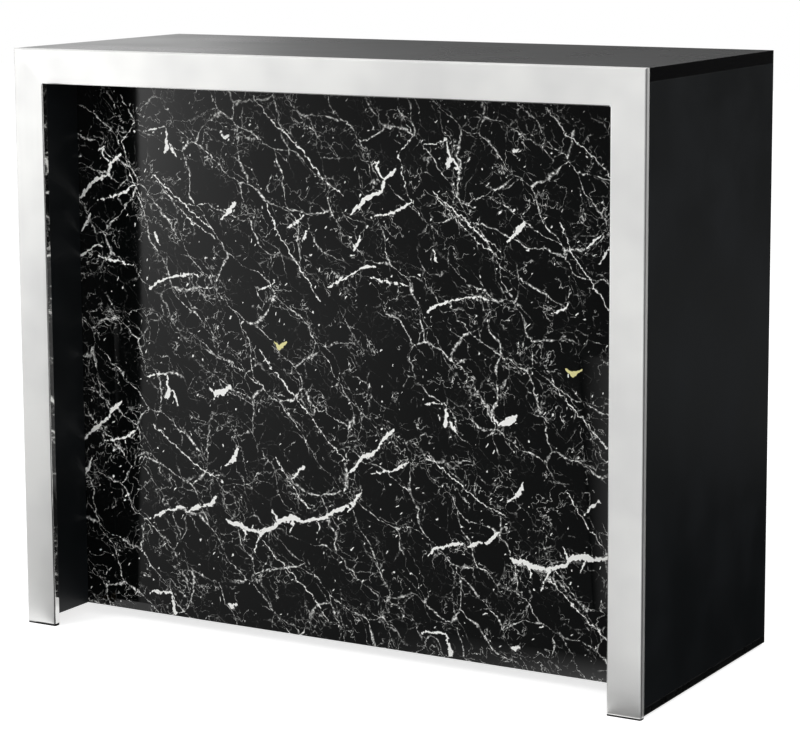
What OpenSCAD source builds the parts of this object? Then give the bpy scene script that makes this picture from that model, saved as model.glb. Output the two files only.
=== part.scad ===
// Free-standing bar cabinet. A mitred steel portal stands in front of two hollow side wings.
// A laminate front panel is set back between the wings. The service side behind it has a
// drawer over an open bay, and a cupboard with a hinged door.
// +Z is up, the guest side faces -Y, and the origin is on the floor under the middle.

/* [Overall] */
// Width across the steel frame
cabinet_w = 1200; // [1000:10:1600]
// Depth from the face of the frame to the rear edge
cabinet_d = 500; // [460:5:650]
// Height to the top of the worktop
cabinet_h = 1020; // [940:10:1150]

/* [Steel frame] */
// Width of the frame's face, and thickness of each wing behind it
frame_face = 60; // [54:1:90]
// Depth of the folded frame section
frame_depth = 12; // [10:0.5:20]
// Sheet thickness of the frame
frame_sheet = 1.5; // [1:0.1:2]
// Outer radius of the folded edges
frame_edge_r = 2.5; // [2.2:0.1:4]
// Thickness of the pad under each post
pad_h = 3; // [2:0.5:6]
// Amount by which each pad is smaller than its post, per side
pad_inset = 0.3; // [0.1:0.1:1]

/* [Boards] */
// Thickness of the worktop
worktop_t = 22; // [18:1:30]
// Thickness of the carcass boards, door and drawer front
board_t = 18; // [15:1:19]
// Thickness of the laminated front panel
panel_t = 18; // [15:1:22]
// Radius of the eased board edges
edge_r = 0.8; // [0.4:0.1:1.2]

/* [Guest side] */
// Distance from the face of the frame back to the front panel
recess_d = 98; // [70:1:130]
// Floor gap under the front panel and the inner walls
panel_floor_gap = 21; // [19:1:40]
// Floor gap under the base strips
strip_floor_gap = 4; // [2:0.5:6]
// Height of the base strip under each side panel
strip_h = 13; // [10:1:14]

/* [Service side] */
// Distance of the door and drawer front inside the rear edge
service_setback = 8; // [7.9:0.1:20]
// Height of the underside of the bottom board
bottom_board_z = 57; // [50:1:90]
// Distance of the plinth board inside the service side
plinth_setback = 40; // [20:1:80]
// Height of the wing battens
batten_h = 40; // [30:1:60]
// Height of the adjustable shelves' undersides above the bottom board
shelf_rise = 370; // [330:1:410]
// Free play at each end of a shelf
shelf_play = 1; // [0.9:0.1:1.5]
// Distance of the shelves inside the service side
shelf_setback = 30; // [22:1:80]

/* [Shelf pins] */
// Pin diameter
pin_d = 5; // [4:0.5:6]
// Depth of each pin hole
pin_hole_depth = 7; // [5:0.5:7.2]
// Pitch of the pin holes
pin_pitch = 32; // [25:1:40]
// Holes above and below the one in use
pin_spare_holes = 2; // [1:1:3]
// Radial clearance of a pin in its hole
pin_play = 0.05; // [0.02:0.01:0.1]
// Length of a pin's support under the shelf
pin_tongue = 9; // [7:0.5:12]
// Thickness of that support at its tip
pin_tongue_t = 1.2; // [1:0.1:1.6]

/* [Drawer] */
// Height of the drawer front
drawer_front_h = 150; // [130:5:200]
// Gap around the door and drawer front
front_gap = 2; // [1.5:0.1:3]
// Height of the drawer's sides
drawer_side_h = 98; // [77:7:105]
// Distance from the lower edge of the front to the drawer's sides
drawer_side_rise = 14; // [10:1:20]
// Thickness of the drawer's sides and ends
drawer_side_t = 12; // [10:1:15]
// Thickness of the drawer bottom
drawer_bottom_t = 5; // [4:0.5:6]
// Depth of the groove that holds the drawer bottom
drawer_groove = 5; // [4:0.5:6]
// Distance from the lower edge of the sides to the groove
drawer_groove_rise = 10; // [8:1:14]
// Finger joints in the height of each corner
drawer_fingers = 7; // [3:2:9]
// Clearance behind the closed drawer
drawer_back_gap = 8; // [4:1:20]
// Distance of the front's screws from the outer faces of the drawer's sides
drawer_screw_inset = 60; // [40:5:100]
// Distance of the front's screws from the drawer's bottom and from its upper edge
drawer_screw_edge = 20; // [14:1:24]

/* [Ball runners] */
// Ball radius
ball_r = 2.4; // [2.2:0.1:2.6]
// Clearance between a ball and its races
ball_play = 0.05; // [0.03:0.01:0.1]
// Sheet thickness of the runner members
runner_sheet = 1.2; // [1:0.1:1.3]
// Thickness of a whole runner, from the wall to the drawer's side
runner_t = 12.7; // [12.5:0.1:14]
// Height of each ball row above and below the runner's middle
ball_row_z = 14; // [12:0.5:18]
// Length of the ball cage
cage_l = 90; // [70:5:120]
// Thickness of the ball cage
cage_t = 0.6; // [0.5:0.1:0.7]
// Width of the cage beyond each ball row
cage_lip = 0.8; // [0.5:0.1:1]
// Distance from each ball row to the cage's window
cage_bar = 7; // [5:0.5:8]
// Distance from the cage's ends to its window
cage_end = 15; // [10:1:20]
// Balls in each row
balls_per_row = 5; // [3:1:7]
// Distance of the outer runner screws from the runner's ends
runner_screw_inset = 35; // [20:5:60]

/* [Door hinges] */
// Height of a hinge
hinge_h = 64; // [50:1:80]
// Width of a leaf, from the pin
leaf_w = 22; // [20:0.5:22]
// Thickness of a leaf
leaf_t = 1.5; // [1.2:0.1:2]
// Gap between the closed leaves
leaf_gap = 0.4; // [0.3:0.1:0.8]
// Outer radius of the knuckles
knuckle_r = 3.4; // [3:0.1:3.5]
// Gap between the knuckles and the face of the door
knuckle_rise = 0.8; // [0.6:0.1:1.2]
// Radius of the hinge pin
hinge_pin_r = 1.5; // [1.2:0.1:1.7]
// Radial clearance of the pin in the door's knuckles
hinge_play = 0.05; // [0.02:0.01:0.1]
// Gap between neighbouring knuckles
knuckle_gap = 0.3; // [0.2:0.1:0.5]
// Distance of the outer hinges from the ends of the door
hinge_inset = 110; // [80:5:160]
// Distance of a leaf's outer screws from its ends
hinge_screw_end = 10; // [8:0.5:14]
// Distance of a leaf's middle screw from its long edge
hinge_screw_edge = 7.3; // [5.5:0.1:8]

/* [Flush pulls and catch] */
// Length of a pull
pull_l = 120; // [100:1:150]
// Width of a pull
pull_w = 36; // [30:1:44]
// Width of the flange around the cup
pull_flange = 5; // [4:0.5:7]
// Sheet thickness of a pull
pull_sheet = 1.2; // [1:0.1:1.5]
// Depth of the cup from the face
pull_depth = 12; // [10:0.5:12.5]
// Clearance round a pull in its pocket
pull_play = 0.1; // [0.05:0.05:0.3]
// Distance of the door pull's middle from the door's free edge
pull_inset = 45; // [35:1:80]
// Height of the catch
catch_h = 46; // [36:1:60]
// Width of the catch
catch_w = 14; // [12:1:20]
// Length of the catch, front to back
catch_l = 22; // [16:1:30]
// Height of the ears that the catch is screwed through
catch_ear_h = 11; // [9:0.5:12]
// Thickness of those ears
catch_ear_t = 3; // [2:0.5:5]
// Wall of the catch round its magnet
catch_wall = 2; // [1.5:0.1:3]
// Length of the magnet, front to back
magnet_l = 12; // [8:1:13]
// Thickness of the pole plates on both sides of the magnet
pole_t = 1.5; // [1:0.1:2]
// Distance of the magnet behind the edges of its pole plates
magnet_recess = 1; // [0.5:0.1:2]
// Thickness of the strike plate on the door
strike_t = 1.5; // [1:0.1:2]
// Height of the strike plate
strike_h = 36; // [34:1:50]
// Distance of the strike plate from the door's free edge
strike_inset = 2; // [1:0.5:3]
// Distance of the strike plate's screws from its ends
strike_screw_end = 5; // [4:0.5:6]
// Gap between the catch and its strike plate
catch_gap = 0.3; // [0.2:0.1:0.5]

/* [Fixings] */
// Leg length of the angle brackets
bracket_leg = 28; // [24:1:34]
// Width of the angle brackets
bracket_w = 18; // [14:1:30]
// Sheet thickness of the angle brackets
bracket_t = 2; // [1.5:0.1:2.5]
// Distance of the front brackets behind the front panel
bracket_front_inset = 70; // [40:5:120]
// Distance of the rear brackets inside the door
bracket_rear_inset = 90; // [60:5:120]
// Shank radius of the wood screws
screw_r = 1.8; // [1.5:0.1:2.2]
// Head radius of the wood screws
screw_head_r = 3.4; // [3:0.1:3.6]
// Head height of the pan-head screws
screw_head_h = 2; // [1.5:0.1:2.5]
// Diameter of a cam
cam_d = 15; // [14:0.5:16]
// Depth of a cam in its board
cam_depth = 12; // [11:0.5:12.5]
// Distance from a cam's middle to the board's end
cam_inset = 24; // [20:1:34]
// Diameter of the bolt that a cam draws in
cam_bolt_d = 6; // [5:0.5:7]
// Radial clearance of a bolt in its hole in the cam and the board's end
cam_bolt_play = 0.3; // [0.2:0.1:0.5]
// Radial clearance of a cam in its pocket
cam_play = 0.1; // [0.05:0.05:0.2]
// Width of the slots in a cam's head
cam_slot_w = 1.4; // [1:0.1:2]
// Depth of those slots
cam_slot_depth = 2; // [1.5:0.1:2.5]
// Distance of the panel's outer cams from the bottom board and the drawer
panel_cam_inset = 90; // [60:5:120]
// Height of the panel's middle cams above the shelves' undersides
panel_cam_rise = 120; // [80:5:150]
// Distance of the bottom board's cams from the front panel and the plinth board
board_cam_inset = 60; // [40:5:90]

/* [Feet] */
// Radius of the rear feet
foot_r = 11; // [9:0.5:11.5]
// Radius of the middle foot
middle_foot_r = 20; // [15:1:30]
// Distance of the rear feet inside the service side
foot_setback = 45; // [30:1:90]
// Chamfer of a foot's sole
foot_chamfer = 1.5; // [0.5:0.1:2]
// Height of a foot's straight rim
foot_rim_h = 5; // [3:0.5:8]
// Amount by which a foot's radius shrinks above its rim
foot_taper = 2; // [0:0.5:4]

/* [Hidden] */

$fn = 48;

// Planes of the carcass.
x_out = cabinet_w / 2;
x_in = x_out - frame_face;
x_void_in = x_in + board_t;
x_void_out = x_out - board_t;
x_part = board_t / 2;
y_front = -cabinet_d / 2;
y_frame_back = y_front + frame_depth;
y_rear = cabinet_d / 2;
y_service = y_rear - service_setback;
y_door_in = y_service - board_t;
y_panel = y_front + recess_d;
y_panel_back = y_panel + panel_t;
z_top = cabinet_h;
z_under = z_top - worktop_t;
z_bottom_top = bottom_board_z + board_t;
z_strip_top = strip_floor_gap + strip_h;
z_shelf = z_bottom_top + shelf_rise;

// Screws stop this far short of the middle of a board, so that two can meet from both faces.
bite_margin = 1.2;
screw_bite = board_t / 2 - bite_margin;
// Share of its radius that the flat crown of a pan head has.
pan_crown = 0.7;
// Spare length that a cut runs past the face it opens.
past = 1;

// Drawer and its runners.
bay_w = x_in - x_part;
drawer_z0 = z_under - front_gap - drawer_front_h;
box_z0 = drawer_z0 + drawer_side_rise;
box_z1 = box_z0 + drawer_side_h;
box_y0 = y_panel_back + drawer_back_gap;
box_y1 = y_door_in;
box_x0 = -x_in + runner_t;
box_x1 = -x_part - runner_t;
runner_z = (box_z0 + box_z1) / 2;
runner_l = box_y1 - box_y0;
drawer_travel = runner_l - cage_l;
race_r = ball_r + ball_play;
race_out_r = race_r + runner_sheet;
ball_u = race_out_r;
// Angles at which the drawer member's upper race starts, and at which its flange runs into it.
race_start = -110;
race_end = -30;
cage_y0 = box_y0 + drawer_travel / 2;
cage_u = (runner_sheet + ball_u + race_out_r * cos(race_start)) / 2 - cage_t / 2;
runner_screw_ys = [for (k = [0 : 2])
    box_y0 + runner_screw_inset + k * (runner_l - 2 * runner_screw_inset) / 2];

// Door and its hinges.
hinge_gap = 2 * leaf_t + leaf_gap;
pin_x = x_in - leaf_t - leaf_gap / 2;
pin_y = y_service + knuckle_r + knuckle_rise;
door_x0 = x_part + front_gap;
door_x1 = x_in - hinge_gap;
door_z0 = z_bottom_top + front_gap;
door_z1 = z_under - front_gap;
hinge_zs = [door_z0 + hinge_inset, (door_z0 + door_z1) / 2 + hinge_h, door_z1 - hinge_inset];
knuckles = 5;
knuckle_h = hinge_h / knuckles;
door_pull_z = (door_z0 + door_z1) / 2;

// Catch and strike plate.
catch_z = door_z1 - hinge_inset;
catch_y1 = y_door_in - strike_t - catch_gap;
catch_y0 = catch_y1 - catch_l;
magnet_h = catch_h - 2 * catch_ear_h - 2 * catch_wall;
strike_x0 = door_x0 + strike_inset;
strike_x1 = door_x0 + catch_w;

// Shelves and their pins.
shelf_y0 = y_panel_back + shelf_play;
shelf_y1 = y_service - shelf_setback;
cupboard_shelf_y1 = pin_y - leaf_w - board_t;
pin_ys = [shelf_y0 + 2 * pin_pitch, cupboard_shelf_y1 - pin_pitch];
pin_z = z_shelf - pin_d / 2;
pin_zs = [for (i = [-pin_spare_holes : pin_spare_holes]) pin_z + i * pin_pitch];
// Each wall face that carries pins: its x, and the direction into the bay.
pin_faces = [[-x_in, 1], [-x_part, -1], [x_part, 1], [x_in, -1]];

// Places of the angle brackets under the worktop, as [x of the wall face, way into the bay, y].
bracket_ys = [y_panel_back + bracket_front_inset, y_door_in - bracket_rear_inset];
bracket_places = [for (f = pin_faces, y = bracket_ys) [f.x, f.y, y]];
rail_bracket_xs = [-x_in / 2, 0, x_in / 2];
// Distance from a bracket's corner to its holes, in the middle of each leg's flat.
bracket_hole = (bracket_leg + 2 * bracket_t) / 2;

// Heights of the screws that hold the posts.
frame_screw_zs = [for (k = [1 : 3]) z_top * (k * 2 - 1) / 6];

// Cams: three up each end of the front panel, and two at each end of the bottom board.
panel_cam_zs = [z_bottom_top + panel_cam_inset, z_shelf + panel_cam_rise, box_z0 - panel_cam_inset];
board_cam_ys = [y_panel_back + board_cam_inset,
    y_service - plinth_setback - board_t - board_cam_inset];
cam_bore_r = cam_bolt_d / 2 + cam_bolt_play;

// Rectangle from corner a to corner b with rounded corners.
module round_rect(a, b, r) {
    translate([a.x + r, a.y]) square([b.x - a.x - 2 * r, b.y - a.y]);
    translate([a.x, a.y + r]) square([b.x - a.x, b.y - a.y - 2 * r]);
    for (x = [a.x + r, b.x - r], y = [a.y + r, b.y - r])
        translate([x, y]) circle(r);
}

// Outline in the XZ plane, made solid between y0 and y1.
module across_y(y0, y1) {
    translate([0, y1, 0]) rotate([90, 0, 0]) linear_extrude(y1 - y0) children();
}

// Outline in the YZ plane, made solid between x0 and x1.
module across_x(x0, x1) {
    translate([x0, 0, 0]) rotate([90, 0, 90]) linear_extrude(x1 - x0) children();
}

// Board from low corner a to high corner b with every edge eased.
module board(a, b, r = edge_r) {
    intersection() {
        translate([0, 0, a.z]) linear_extrude(b.z - a.z)
            round_rect([a.x, a.y], [b.x, b.y], r);
        across_y(a.y, b.y) round_rect([a.x, a.z], [b.x, b.z], r);
        across_x(a.x, b.x) round_rect([a.y, a.z], [b.y, b.z], r);
    }
}

// Plain block from low corner a to high corner b.
module block(a, b) {
    translate(a) cube(b - a);
}

// Turns +Z to the row axis d.
module towards(d) {
    turn = d.z == 1 ? [0, 0, 0] : d.z == -1 ? [180, 0, 0] : [0, 90, atan2(d.y, d.x)];
    rotate(turn) children();
}

// Pan-head screw at p. It passes through t of the held piece and bites into the one behind.
module screw(p, d, t) {
    translate(p) towards(d) {
        translate([0, 0, -screw_head_h]) cylinder(r1 = screw_head_r * pan_crown,
            r2 = screw_head_r, h = screw_head_h);
        cylinder(r = screw_r, h = t + screw_bite);
    }
}

// Countersunk screw with its head flush at p.
module flush_screw(p, d, t) {
    translate(p) towards(d) {
        cylinder(r1 = screw_head_r, r2 = screw_r, h = t);
        cylinder(r = screw_r, h = t + screw_bite);
    }
}

// Hole for the shank of a screw at p, through t of the held piece and on into the next.
module screw_hole(p, d, t) {
    translate(p) towards(d) translate([0, 0, -past])
        cylinder(r = screw_r, h = past + t + screw_bite);
}

// Steel frame

// Section of the folded frame with its face at y = 0, rounded at the two front edges.
module rounded_front(w, d, r) {
    translate([-w / 2, r]) square([w, d - r]);
    translate([-w / 2 + r, 0]) square([w - 2 * r, d]);
    for (s = [-1, 1]) translate([s * (w / 2 - r), r]) circle(r);
}

module channel_section() {
    difference() {
        rounded_front(frame_face, frame_depth, frame_edge_r);
        translate([0, frame_sheet])
            rounded_front(frame_face - 2 * frame_sheet, frame_depth, frame_edge_r - frame_sheet);
    }
}

module core_section() {
    intersection() {
        translate([0, frame_sheet])
            rounded_front(frame_face - 2 * frame_sheet, frame_depth, frame_edge_r - frame_sheet);
        translate([-frame_face / 2, 0]) square([frame_face, frame_depth]);
    }
}

// Keeps what lies inside the mitred outline of a post, s = -1 on the left and 1 on the right.
module post_mitre(s) {
    intersection() {
        children();
        across_y(y_front, y_frame_back)
            polygon([
                [s * x_out, pad_h],
                [s * x_in, pad_h],
                [s * x_in, z_top - frame_face],
                [s * x_out, z_top],
            ]);
    }
}

module rail_mitre() {
    intersection() {
        children();
        across_y(y_front, y_frame_back)
            polygon([
                [-x_out, z_top],
                [x_out, z_top],
                [x_in, z_top - frame_face],
                [-x_in, z_top - frame_face],
            ]);
    }
}

module post_bar(s) {
    translate([s * (x_out - frame_face / 2), y_front, 0]) linear_extrude(z_top) children();
}

module rail_bar() {
    translate([-x_out, y_front, z_top - frame_face / 2]) rotate([0, 90, 0])
        linear_extrude(cabinet_w) children();
}

module frame_left_post() color("silver") post_mitre(-1) post_bar(-1) channel_section();
module frame_right_post() color("silver") post_mitre(1) post_bar(1) channel_section();
module frame_top_rail() color("silver") rail_mitre() rail_bar() channel_section();

// Timber strips that fill the folded sections and take the screws.
module post_core(s) {
    difference() {
        post_mitre(s) post_bar(s) core_section();
        frame_screw_holes();
    }
}

module left_post_core() color("burlywood") post_core(-1);
module right_post_core() color("burlywood") post_core(1);

module top_rail_core() color("burlywood") difference() {
    rail_mitre() rail_bar() core_section();
    rail_bracket_holes();
}

module post_pads() color("black") {
    for (s = [-1, 1])
        translate([s * (x_out - frame_face / 2), y_front + pad_inset, 0]) linear_extrude(pad_h)
            rounded_front(frame_face - 2 * pad_inset, frame_depth - 2 * pad_inset,
                frame_edge_r - pad_inset);
}

// Places where the posts are screwed from inside the wings.
module frame_screw_holes() {
    for (s = [-1, 1], z = frame_screw_zs)
        screw_hole([s * (x_out - frame_face / 2), y_frame_back + board_t, z], [0, -1, 0], board_t);
}

module frame_screws() color("gray") {
    for (s = [-1, 1], z = frame_screw_zs)
        screw([s * (x_out - frame_face / 2), y_frame_back + board_t, z], [0, -1, 0], board_t);
}

// Worktop and its brackets

module worktop() color([0.08, 0.08, 0.08]) difference() {
    board([-x_out, y_frame_back, z_under], [x_out, y_rear, z_top]);
    for (b = bracket_places)
        screw_hole([b.x + b.y * bracket_hole, b.z, z_under - bracket_t], [0, 0, 1], bracket_t);
    for (x = rail_bracket_xs)
        screw_hole([x, y_frame_back + bracket_hole, z_under - bracket_t], [0, 0, 1], bracket_t);
}

// Angle bracket section with its corner at the origin and its legs along +x and -y.
module angle_section() {
    difference() {
        translate([0, -bracket_leg]) square(bracket_leg);
        translate([2 * bracket_t, -bracket_leg - past])
            square([bracket_leg, bracket_leg + past - bracket_t]);
        translate([bracket_t, -bracket_leg - past])
            square([bracket_leg, bracket_leg + past - 2 * bracket_t]);
        translate([2 * bracket_t, -2 * bracket_t]) circle(bracket_t);
    }
}

module worktop_brackets() color("gray") difference() {
    for (b = bracket_places)
        translate([b.x, 0, z_under]) mirror([b.y < 0 ? 1 : 0, 0, 0])
            across_y(b.z - bracket_w / 2, b.z + bracket_w / 2) angle_section();
    bracket_screw_holes();
}

module rail_brackets() color("gray") difference() {
    for (x = rail_bracket_xs)
        translate([0, y_frame_back, z_under])
            across_x(x - bracket_w / 2, x + bracket_w / 2) angle_section();
    rail_bracket_holes();
    for (x = rail_bracket_xs)
        screw_hole([x, y_frame_back + bracket_hole, z_under - bracket_t], [0, 0, 1], bracket_t);
}

module rail_bracket_holes() {
    for (x = rail_bracket_xs)
        screw_hole([x, y_frame_back + bracket_t, z_under - bracket_hole], [0, -1, 0], bracket_t);
}

module bracket_screw_holes() {
    for (b = bracket_places) {
        screw_hole([b.x + b.y * bracket_hole, b.z, z_under - bracket_t], [0, 0, 1], bracket_t);
        wall_bracket_hole(b);
    }
}

module wall_bracket_hole(b) {
    screw_hole([b.x + b.y * bracket_t, b.z, z_under - bracket_hole], [-b.y, 0, 0], bracket_t);
}

module bracket_screws() color("gray") {
    for (b = bracket_places) {
        screw([b.x + b.y * bracket_hole, b.z, z_under - bracket_t], [0, 0, 1], bracket_t);
        screw([b.x + b.y * bracket_t, b.z, z_under - bracket_hole], [-b.y, 0, 0], bracket_t);
    }
    for (x = rail_bracket_xs) {
        screw([x, y_frame_back + bracket_hole, z_under - bracket_t], [0, 0, 1], bracket_t);
        screw([x, y_frame_back + bracket_t, z_under - bracket_hole], [0, -1, 0], bracket_t);
    }
}

// Wings, s = -1 on the left and 1 on the right

// Board given from the middle plane outward, and placed on side s.
module wing_board(s, a, b) {
    if (s > 0) board(a, b);
    else board([-b.x, a.y, a.z], [-a.x, b.y, b.z]);
}

module side_panel(s) {
    wing_board(s, [x_void_out, y_frame_back, z_strip_top], [x_out, y_rear, z_under]);
}

module left_side_panel() color([0.09, 0.1, 0.1]) side_panel(-1);
module right_side_panel() color([0.09, 0.1, 0.1]) side_panel(1);

module base_strip(s) {
    wing_board(s, [x_void_out, y_frame_back, strip_floor_gap], [x_out, y_rear, z_strip_top]);
}

module left_base_strip() color([0.05, 0.05, 0.05]) base_strip(-1);
module right_base_strip() color([0.05, 0.05, 0.05]) base_strip(1);

module inner_wall(s) {
    difference() {
        wing_board(s, [x_in, y_frame_back, panel_floor_gap], [x_void_in, y_service, z_under]);
        pin_holes(s * x_in);
        for (b = bracket_places) if (b.x == s * x_in) wall_bracket_hole(b);
        cam_bolt_holes();
        runner_wall_holes();
    }
}

module left_inner_wall() color([0.06, 0.06, 0.06]) inner_wall(-1);
module right_inner_wall() color([0.06, 0.06, 0.06]) difference() {
    inner_wall(1);
    hinge_screw_holes();
}

module front_stiles() color("burlywood") difference() {
    for (s = [-1, 1])
        wing_board(s, [x_void_in, y_frame_back, panel_floor_gap],
            [x_void_out, y_frame_back + board_t, z_under]);
    frame_screw_holes();
}

module rear_stiles() color([0.06, 0.06, 0.06]) {
    for (s = [-1, 1])
        wing_board(s, [x_void_in, y_door_in, panel_floor_gap], [x_void_out, y_service, z_under]);
}

module wing_battens() color("burlywood") {
    for (s = [-1, 1], z = [panel_floor_gap, z_under - batten_h])
        wing_board(s, [x_void_in, y_frame_back + board_t, z],
            [x_void_out, y_door_in, z + batten_h]);
}

// Carcass boards

module front_panel() color([0.07, 0.07, 0.08]) difference() {
    board([-x_in, y_panel, panel_floor_gap], [x_in, y_panel_back, z_under]);
    panel_cams() cam_pocket();
}

module bottom_board() color([0.07, 0.07, 0.07]) difference() {
    board([-x_in, y_panel_back, bottom_board_z], [x_in, y_service, z_bottom_top]);
    board_cams() cam_pocket();
}

module centre_partition() color([0.07, 0.07, 0.07]) difference() {
    board([-x_part, y_panel_back, z_bottom_top], [x_part, y_service, z_under]);
    pin_holes(-x_part);
    pin_holes(x_part);
    for (b = bracket_places) if (abs(b.x) == x_part) wall_bracket_hole(b);
    runner_wall_holes();
    catch_screw_holes();
}

module plinth_board() color([0.07, 0.07, 0.07])
    board([-x_in, y_service - plinth_setback - board_t, panel_floor_gap],
        [x_in, y_service - plinth_setback, bottom_board_z]);

module open_bay_shelf() color([0.07, 0.07, 0.07])
    board([-x_in + shelf_play, shelf_y0, z_shelf], [-x_part - shelf_play, shelf_y1, z_shelf + board_t]);

module cupboard_shelf() color([0.07, 0.07, 0.07])
    board([x_part + shelf_play, shelf_y0, z_shelf],
        [x_in - shelf_play, cupboard_shelf_y1, z_shelf + board_t]);

// Shelf pins

module pin_holes(x) {
    for (f = pin_faces) if (f.x == x)
        for (y = pin_ys, z = pin_zs)
            translate([f.x + f.y * past, y, z]) towards([-f.y, 0, 0])
                cylinder(d = pin_d + 2 * pin_play, h = past + pin_hole_depth);
}

// Spoon-shaped pin: a round shank in the wall and a flat-topped tongue under the shelf.
module shelf_pin() {
    translate([-pin_hole_depth + past, 0, 0]) towards([1, 0, 0])
        cylinder(d = pin_d, h = pin_hole_depth - past);
    intersection() {
        towards([1, 0, 0]) cylinder(d = 2 * pin_d, h = pin_tongue);
        across_y(-pin_d, pin_d)
            polygon([
                [0, pin_d / 2],
                [pin_tongue, pin_d / 2],
                [pin_tongue, pin_d / 2 - pin_tongue_t],
                [pin_tongue_t, -pin_d],
                [0, -pin_d],
            ]);
    }
}

module shelf_pins() color("silver") {
    for (f = pin_faces, y = pin_ys)
        translate([f.x, y, pin_z]) mirror([f.y < 0 ? 1 : 0, 0, 0]) shelf_pin();
}

// Cams and bolts. A cam is drawn with its middle at the origin of the board's face, its own
// axis along -z into the board and its bolt along +x towards the board's end.

module cam_pocket() {
    translate([0, 0, -cam_depth]) cylinder(r = cam_d / 2 + cam_play, h = cam_depth + past);
    translate([0, 0, -board_t / 2]) towards([1, 0, 0])
        cylinder(r = cam_bore_r, h = cam_inset + past);
}

module cam() {
    difference() {
        translate([0, 0, -cam_depth]) cylinder(d = cam_d, h = cam_depth);
        translate([0, 0, -board_t / 2]) towards([1, 0, 0]) cylinder(r = cam_bore_r, h = cam_d);
        for (a = [0, 90]) rotate([0, 0, a])
            block([-cam_d / 3, -cam_slot_w / 2, -cam_slot_depth], [cam_d / 3, cam_slot_w / 2, past]);
    }
}

module cam_bolt() {
    translate([cam_d / 4, 0, -board_t / 2]) towards([1, 0, 0])
        cylinder(d = cam_bolt_d, h = cam_inset - cam_d / 4 + screw_bite);
}

module panel_cams() {
    for (s = [-1, 1], z = panel_cam_zs)
        translate([s * (x_in - cam_inset), y_panel_back, z]) rotate([-90, 0, 0])
            mirror([s < 0 ? 1 : 0, 0, 0]) children();
}

module board_cams() {
    for (s = [-1, 1], y = board_cam_ys)
        translate([s * (x_in - cam_inset), y, bottom_board_z]) rotate([180, 0, 0])
            mirror([s < 0 ? 1 : 0, 0, 0]) children();
}

module cam_locks() color("gray") {
    panel_cams() cam();
    board_cams() cam();
}

module cam_bolts() color("silver") {
    panel_cams() cam_bolt();
    board_cams() cam_bolt();
}

// Holes in the inner walls for the ends of the bolts.
module cam_bolt_holes() {
    panel_cams() cam_bolt();
    board_cams() cam_bolt();
}

// Feet

// Moulded foot of radius r and height h with a chamfered sole.
module foot(r, h) {
    rotate_extrude()
        polygon([
            [0, 0],
            [r - foot_chamfer, 0],
            [r, foot_chamfer],
            [r, foot_rim_h],
            [r - foot_taper, h],
            [0, h],
        ]);
}

module rear_feet() color([0.05, 0.05, 0.05]) {
    for (s = [-1, 1])
        translate([s * (x_out - frame_face / 2), y_service - foot_setback, 0])
            foot(foot_r, panel_floor_gap);
}

module middle_foot() color([0.05, 0.05, 0.05])
    translate([0, (y_panel_back + y_service) / 2, 0]) foot(middle_foot_r, bottom_board_z);

// Ball runners. u is the distance from the wall towards the drawer's side and z is up.

// Part of a ring round the ball at the origin, from angle a0 to angle a1.
module race_arc(a0, a1) {
    reach = 2 * race_out_r;
    steps = 6;
    intersection() {
        difference() {
            circle(race_out_r);
            circle(race_r);
        }
        polygon(concat([[0, 0]], [for (i = [0 : steps])
            let (a = a0 + (a1 - a0) * i / steps) reach * [cos(a), sin(a)]]));
    }
}

module wall_member_section() {
    translate([0, -ball_row_z]) square([runner_sheet, 2 * ball_row_z]);
    for (s = [0, 1]) mirror([0, s]) translate([ball_u, ball_row_z]) race_arc(0, 180);
}

module drawer_member_section() {
    flange_z = ball_row_z + (race_r + race_out_r) / 2 * sin(race_end);
    flange_u = ball_u + (race_r + race_out_r) / 2 * cos(race_end);
    translate([runner_t - runner_sheet, -flange_z]) square([runner_sheet, 2 * flange_z]);
    for (s = [0, 1]) mirror([0, s]) {
        translate([ball_u, ball_row_z]) race_arc(race_start, race_end);
        translate([flange_u - runner_sheet / 4, flange_z - runner_sheet / 2])
            square([runner_t - flange_u + runner_sheet / 4, runner_sheet]);
    }
}

// Flat cage between the two ball rows, notched round each ball.
module cage_plate() {
    difference() {
        block([cage_u, cage_y0, -ball_row_z - cage_lip],
            [cage_u + cage_t, cage_y0 + cage_l, ball_row_z + cage_lip]);
        ball_places() towards([1, 0, 0]) translate([0, 0, -ball_r])
            cylinder(r = cage_notch_r, h = 2 * ball_r);
        block([0, cage_y0 + cage_end, cage_bar - ball_row_z],
            [ball_u, cage_y0 + cage_l - cage_end, ball_row_z - cage_bar]);
    }
}

// Radius that a ball has where the cage passes it, with its clearance.
cage_notch_r = sqrt(pow(ball_r, 2) - pow(ball_u - cage_u - cage_t, 2)) + ball_play;

module ball_places() {
    for (k = [0 : balls_per_row - 1], s = [-1, 1])
        translate([ball_u, cage_y0 + cage_l * (k + 0.5) / balls_per_row, s * ball_row_z]) children();
}

// Puts a runner on the wing's wall and its mirror image on the partition.
module both_runners() {
    translate([-x_in, 0, runner_z]) children();
    translate([-x_part, 0, runner_z]) mirror([1, 0, 0]) children();
}

// Screws of one runner: sunk flush in the wall member, and in the drawer member.
module wall_member_screws() {
    for (y = runner_screw_ys) flush_screw([runner_sheet, y, 0], [-1, 0, 0], runner_sheet);
}

module drawer_member_screws() {
    for (y = runner_screw_ys)
        flush_screw([runner_t - runner_sheet, y, 0], [1, 0, 0], runner_sheet);
}

module runner_wall_holes() {
    both_runners() for (y = runner_screw_ys) screw_hole([0, y, 0], [-1, 0, 0], 0);
}

module runner_drawer_holes() {
    both_runners() for (y = runner_screw_ys) screw_hole([runner_t, y, 0], [1, 0, 0], 0);
}

module runner_wall_members() color("silver") both_runners() difference() {
    across_y(box_y0, box_y1) wall_member_section();
    wall_member_screws();
}

module runner_drawer_members() color("silver") both_runners() difference() {
    across_y(box_y0, box_y1) drawer_member_section();
    drawer_member_screws();
}

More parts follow.
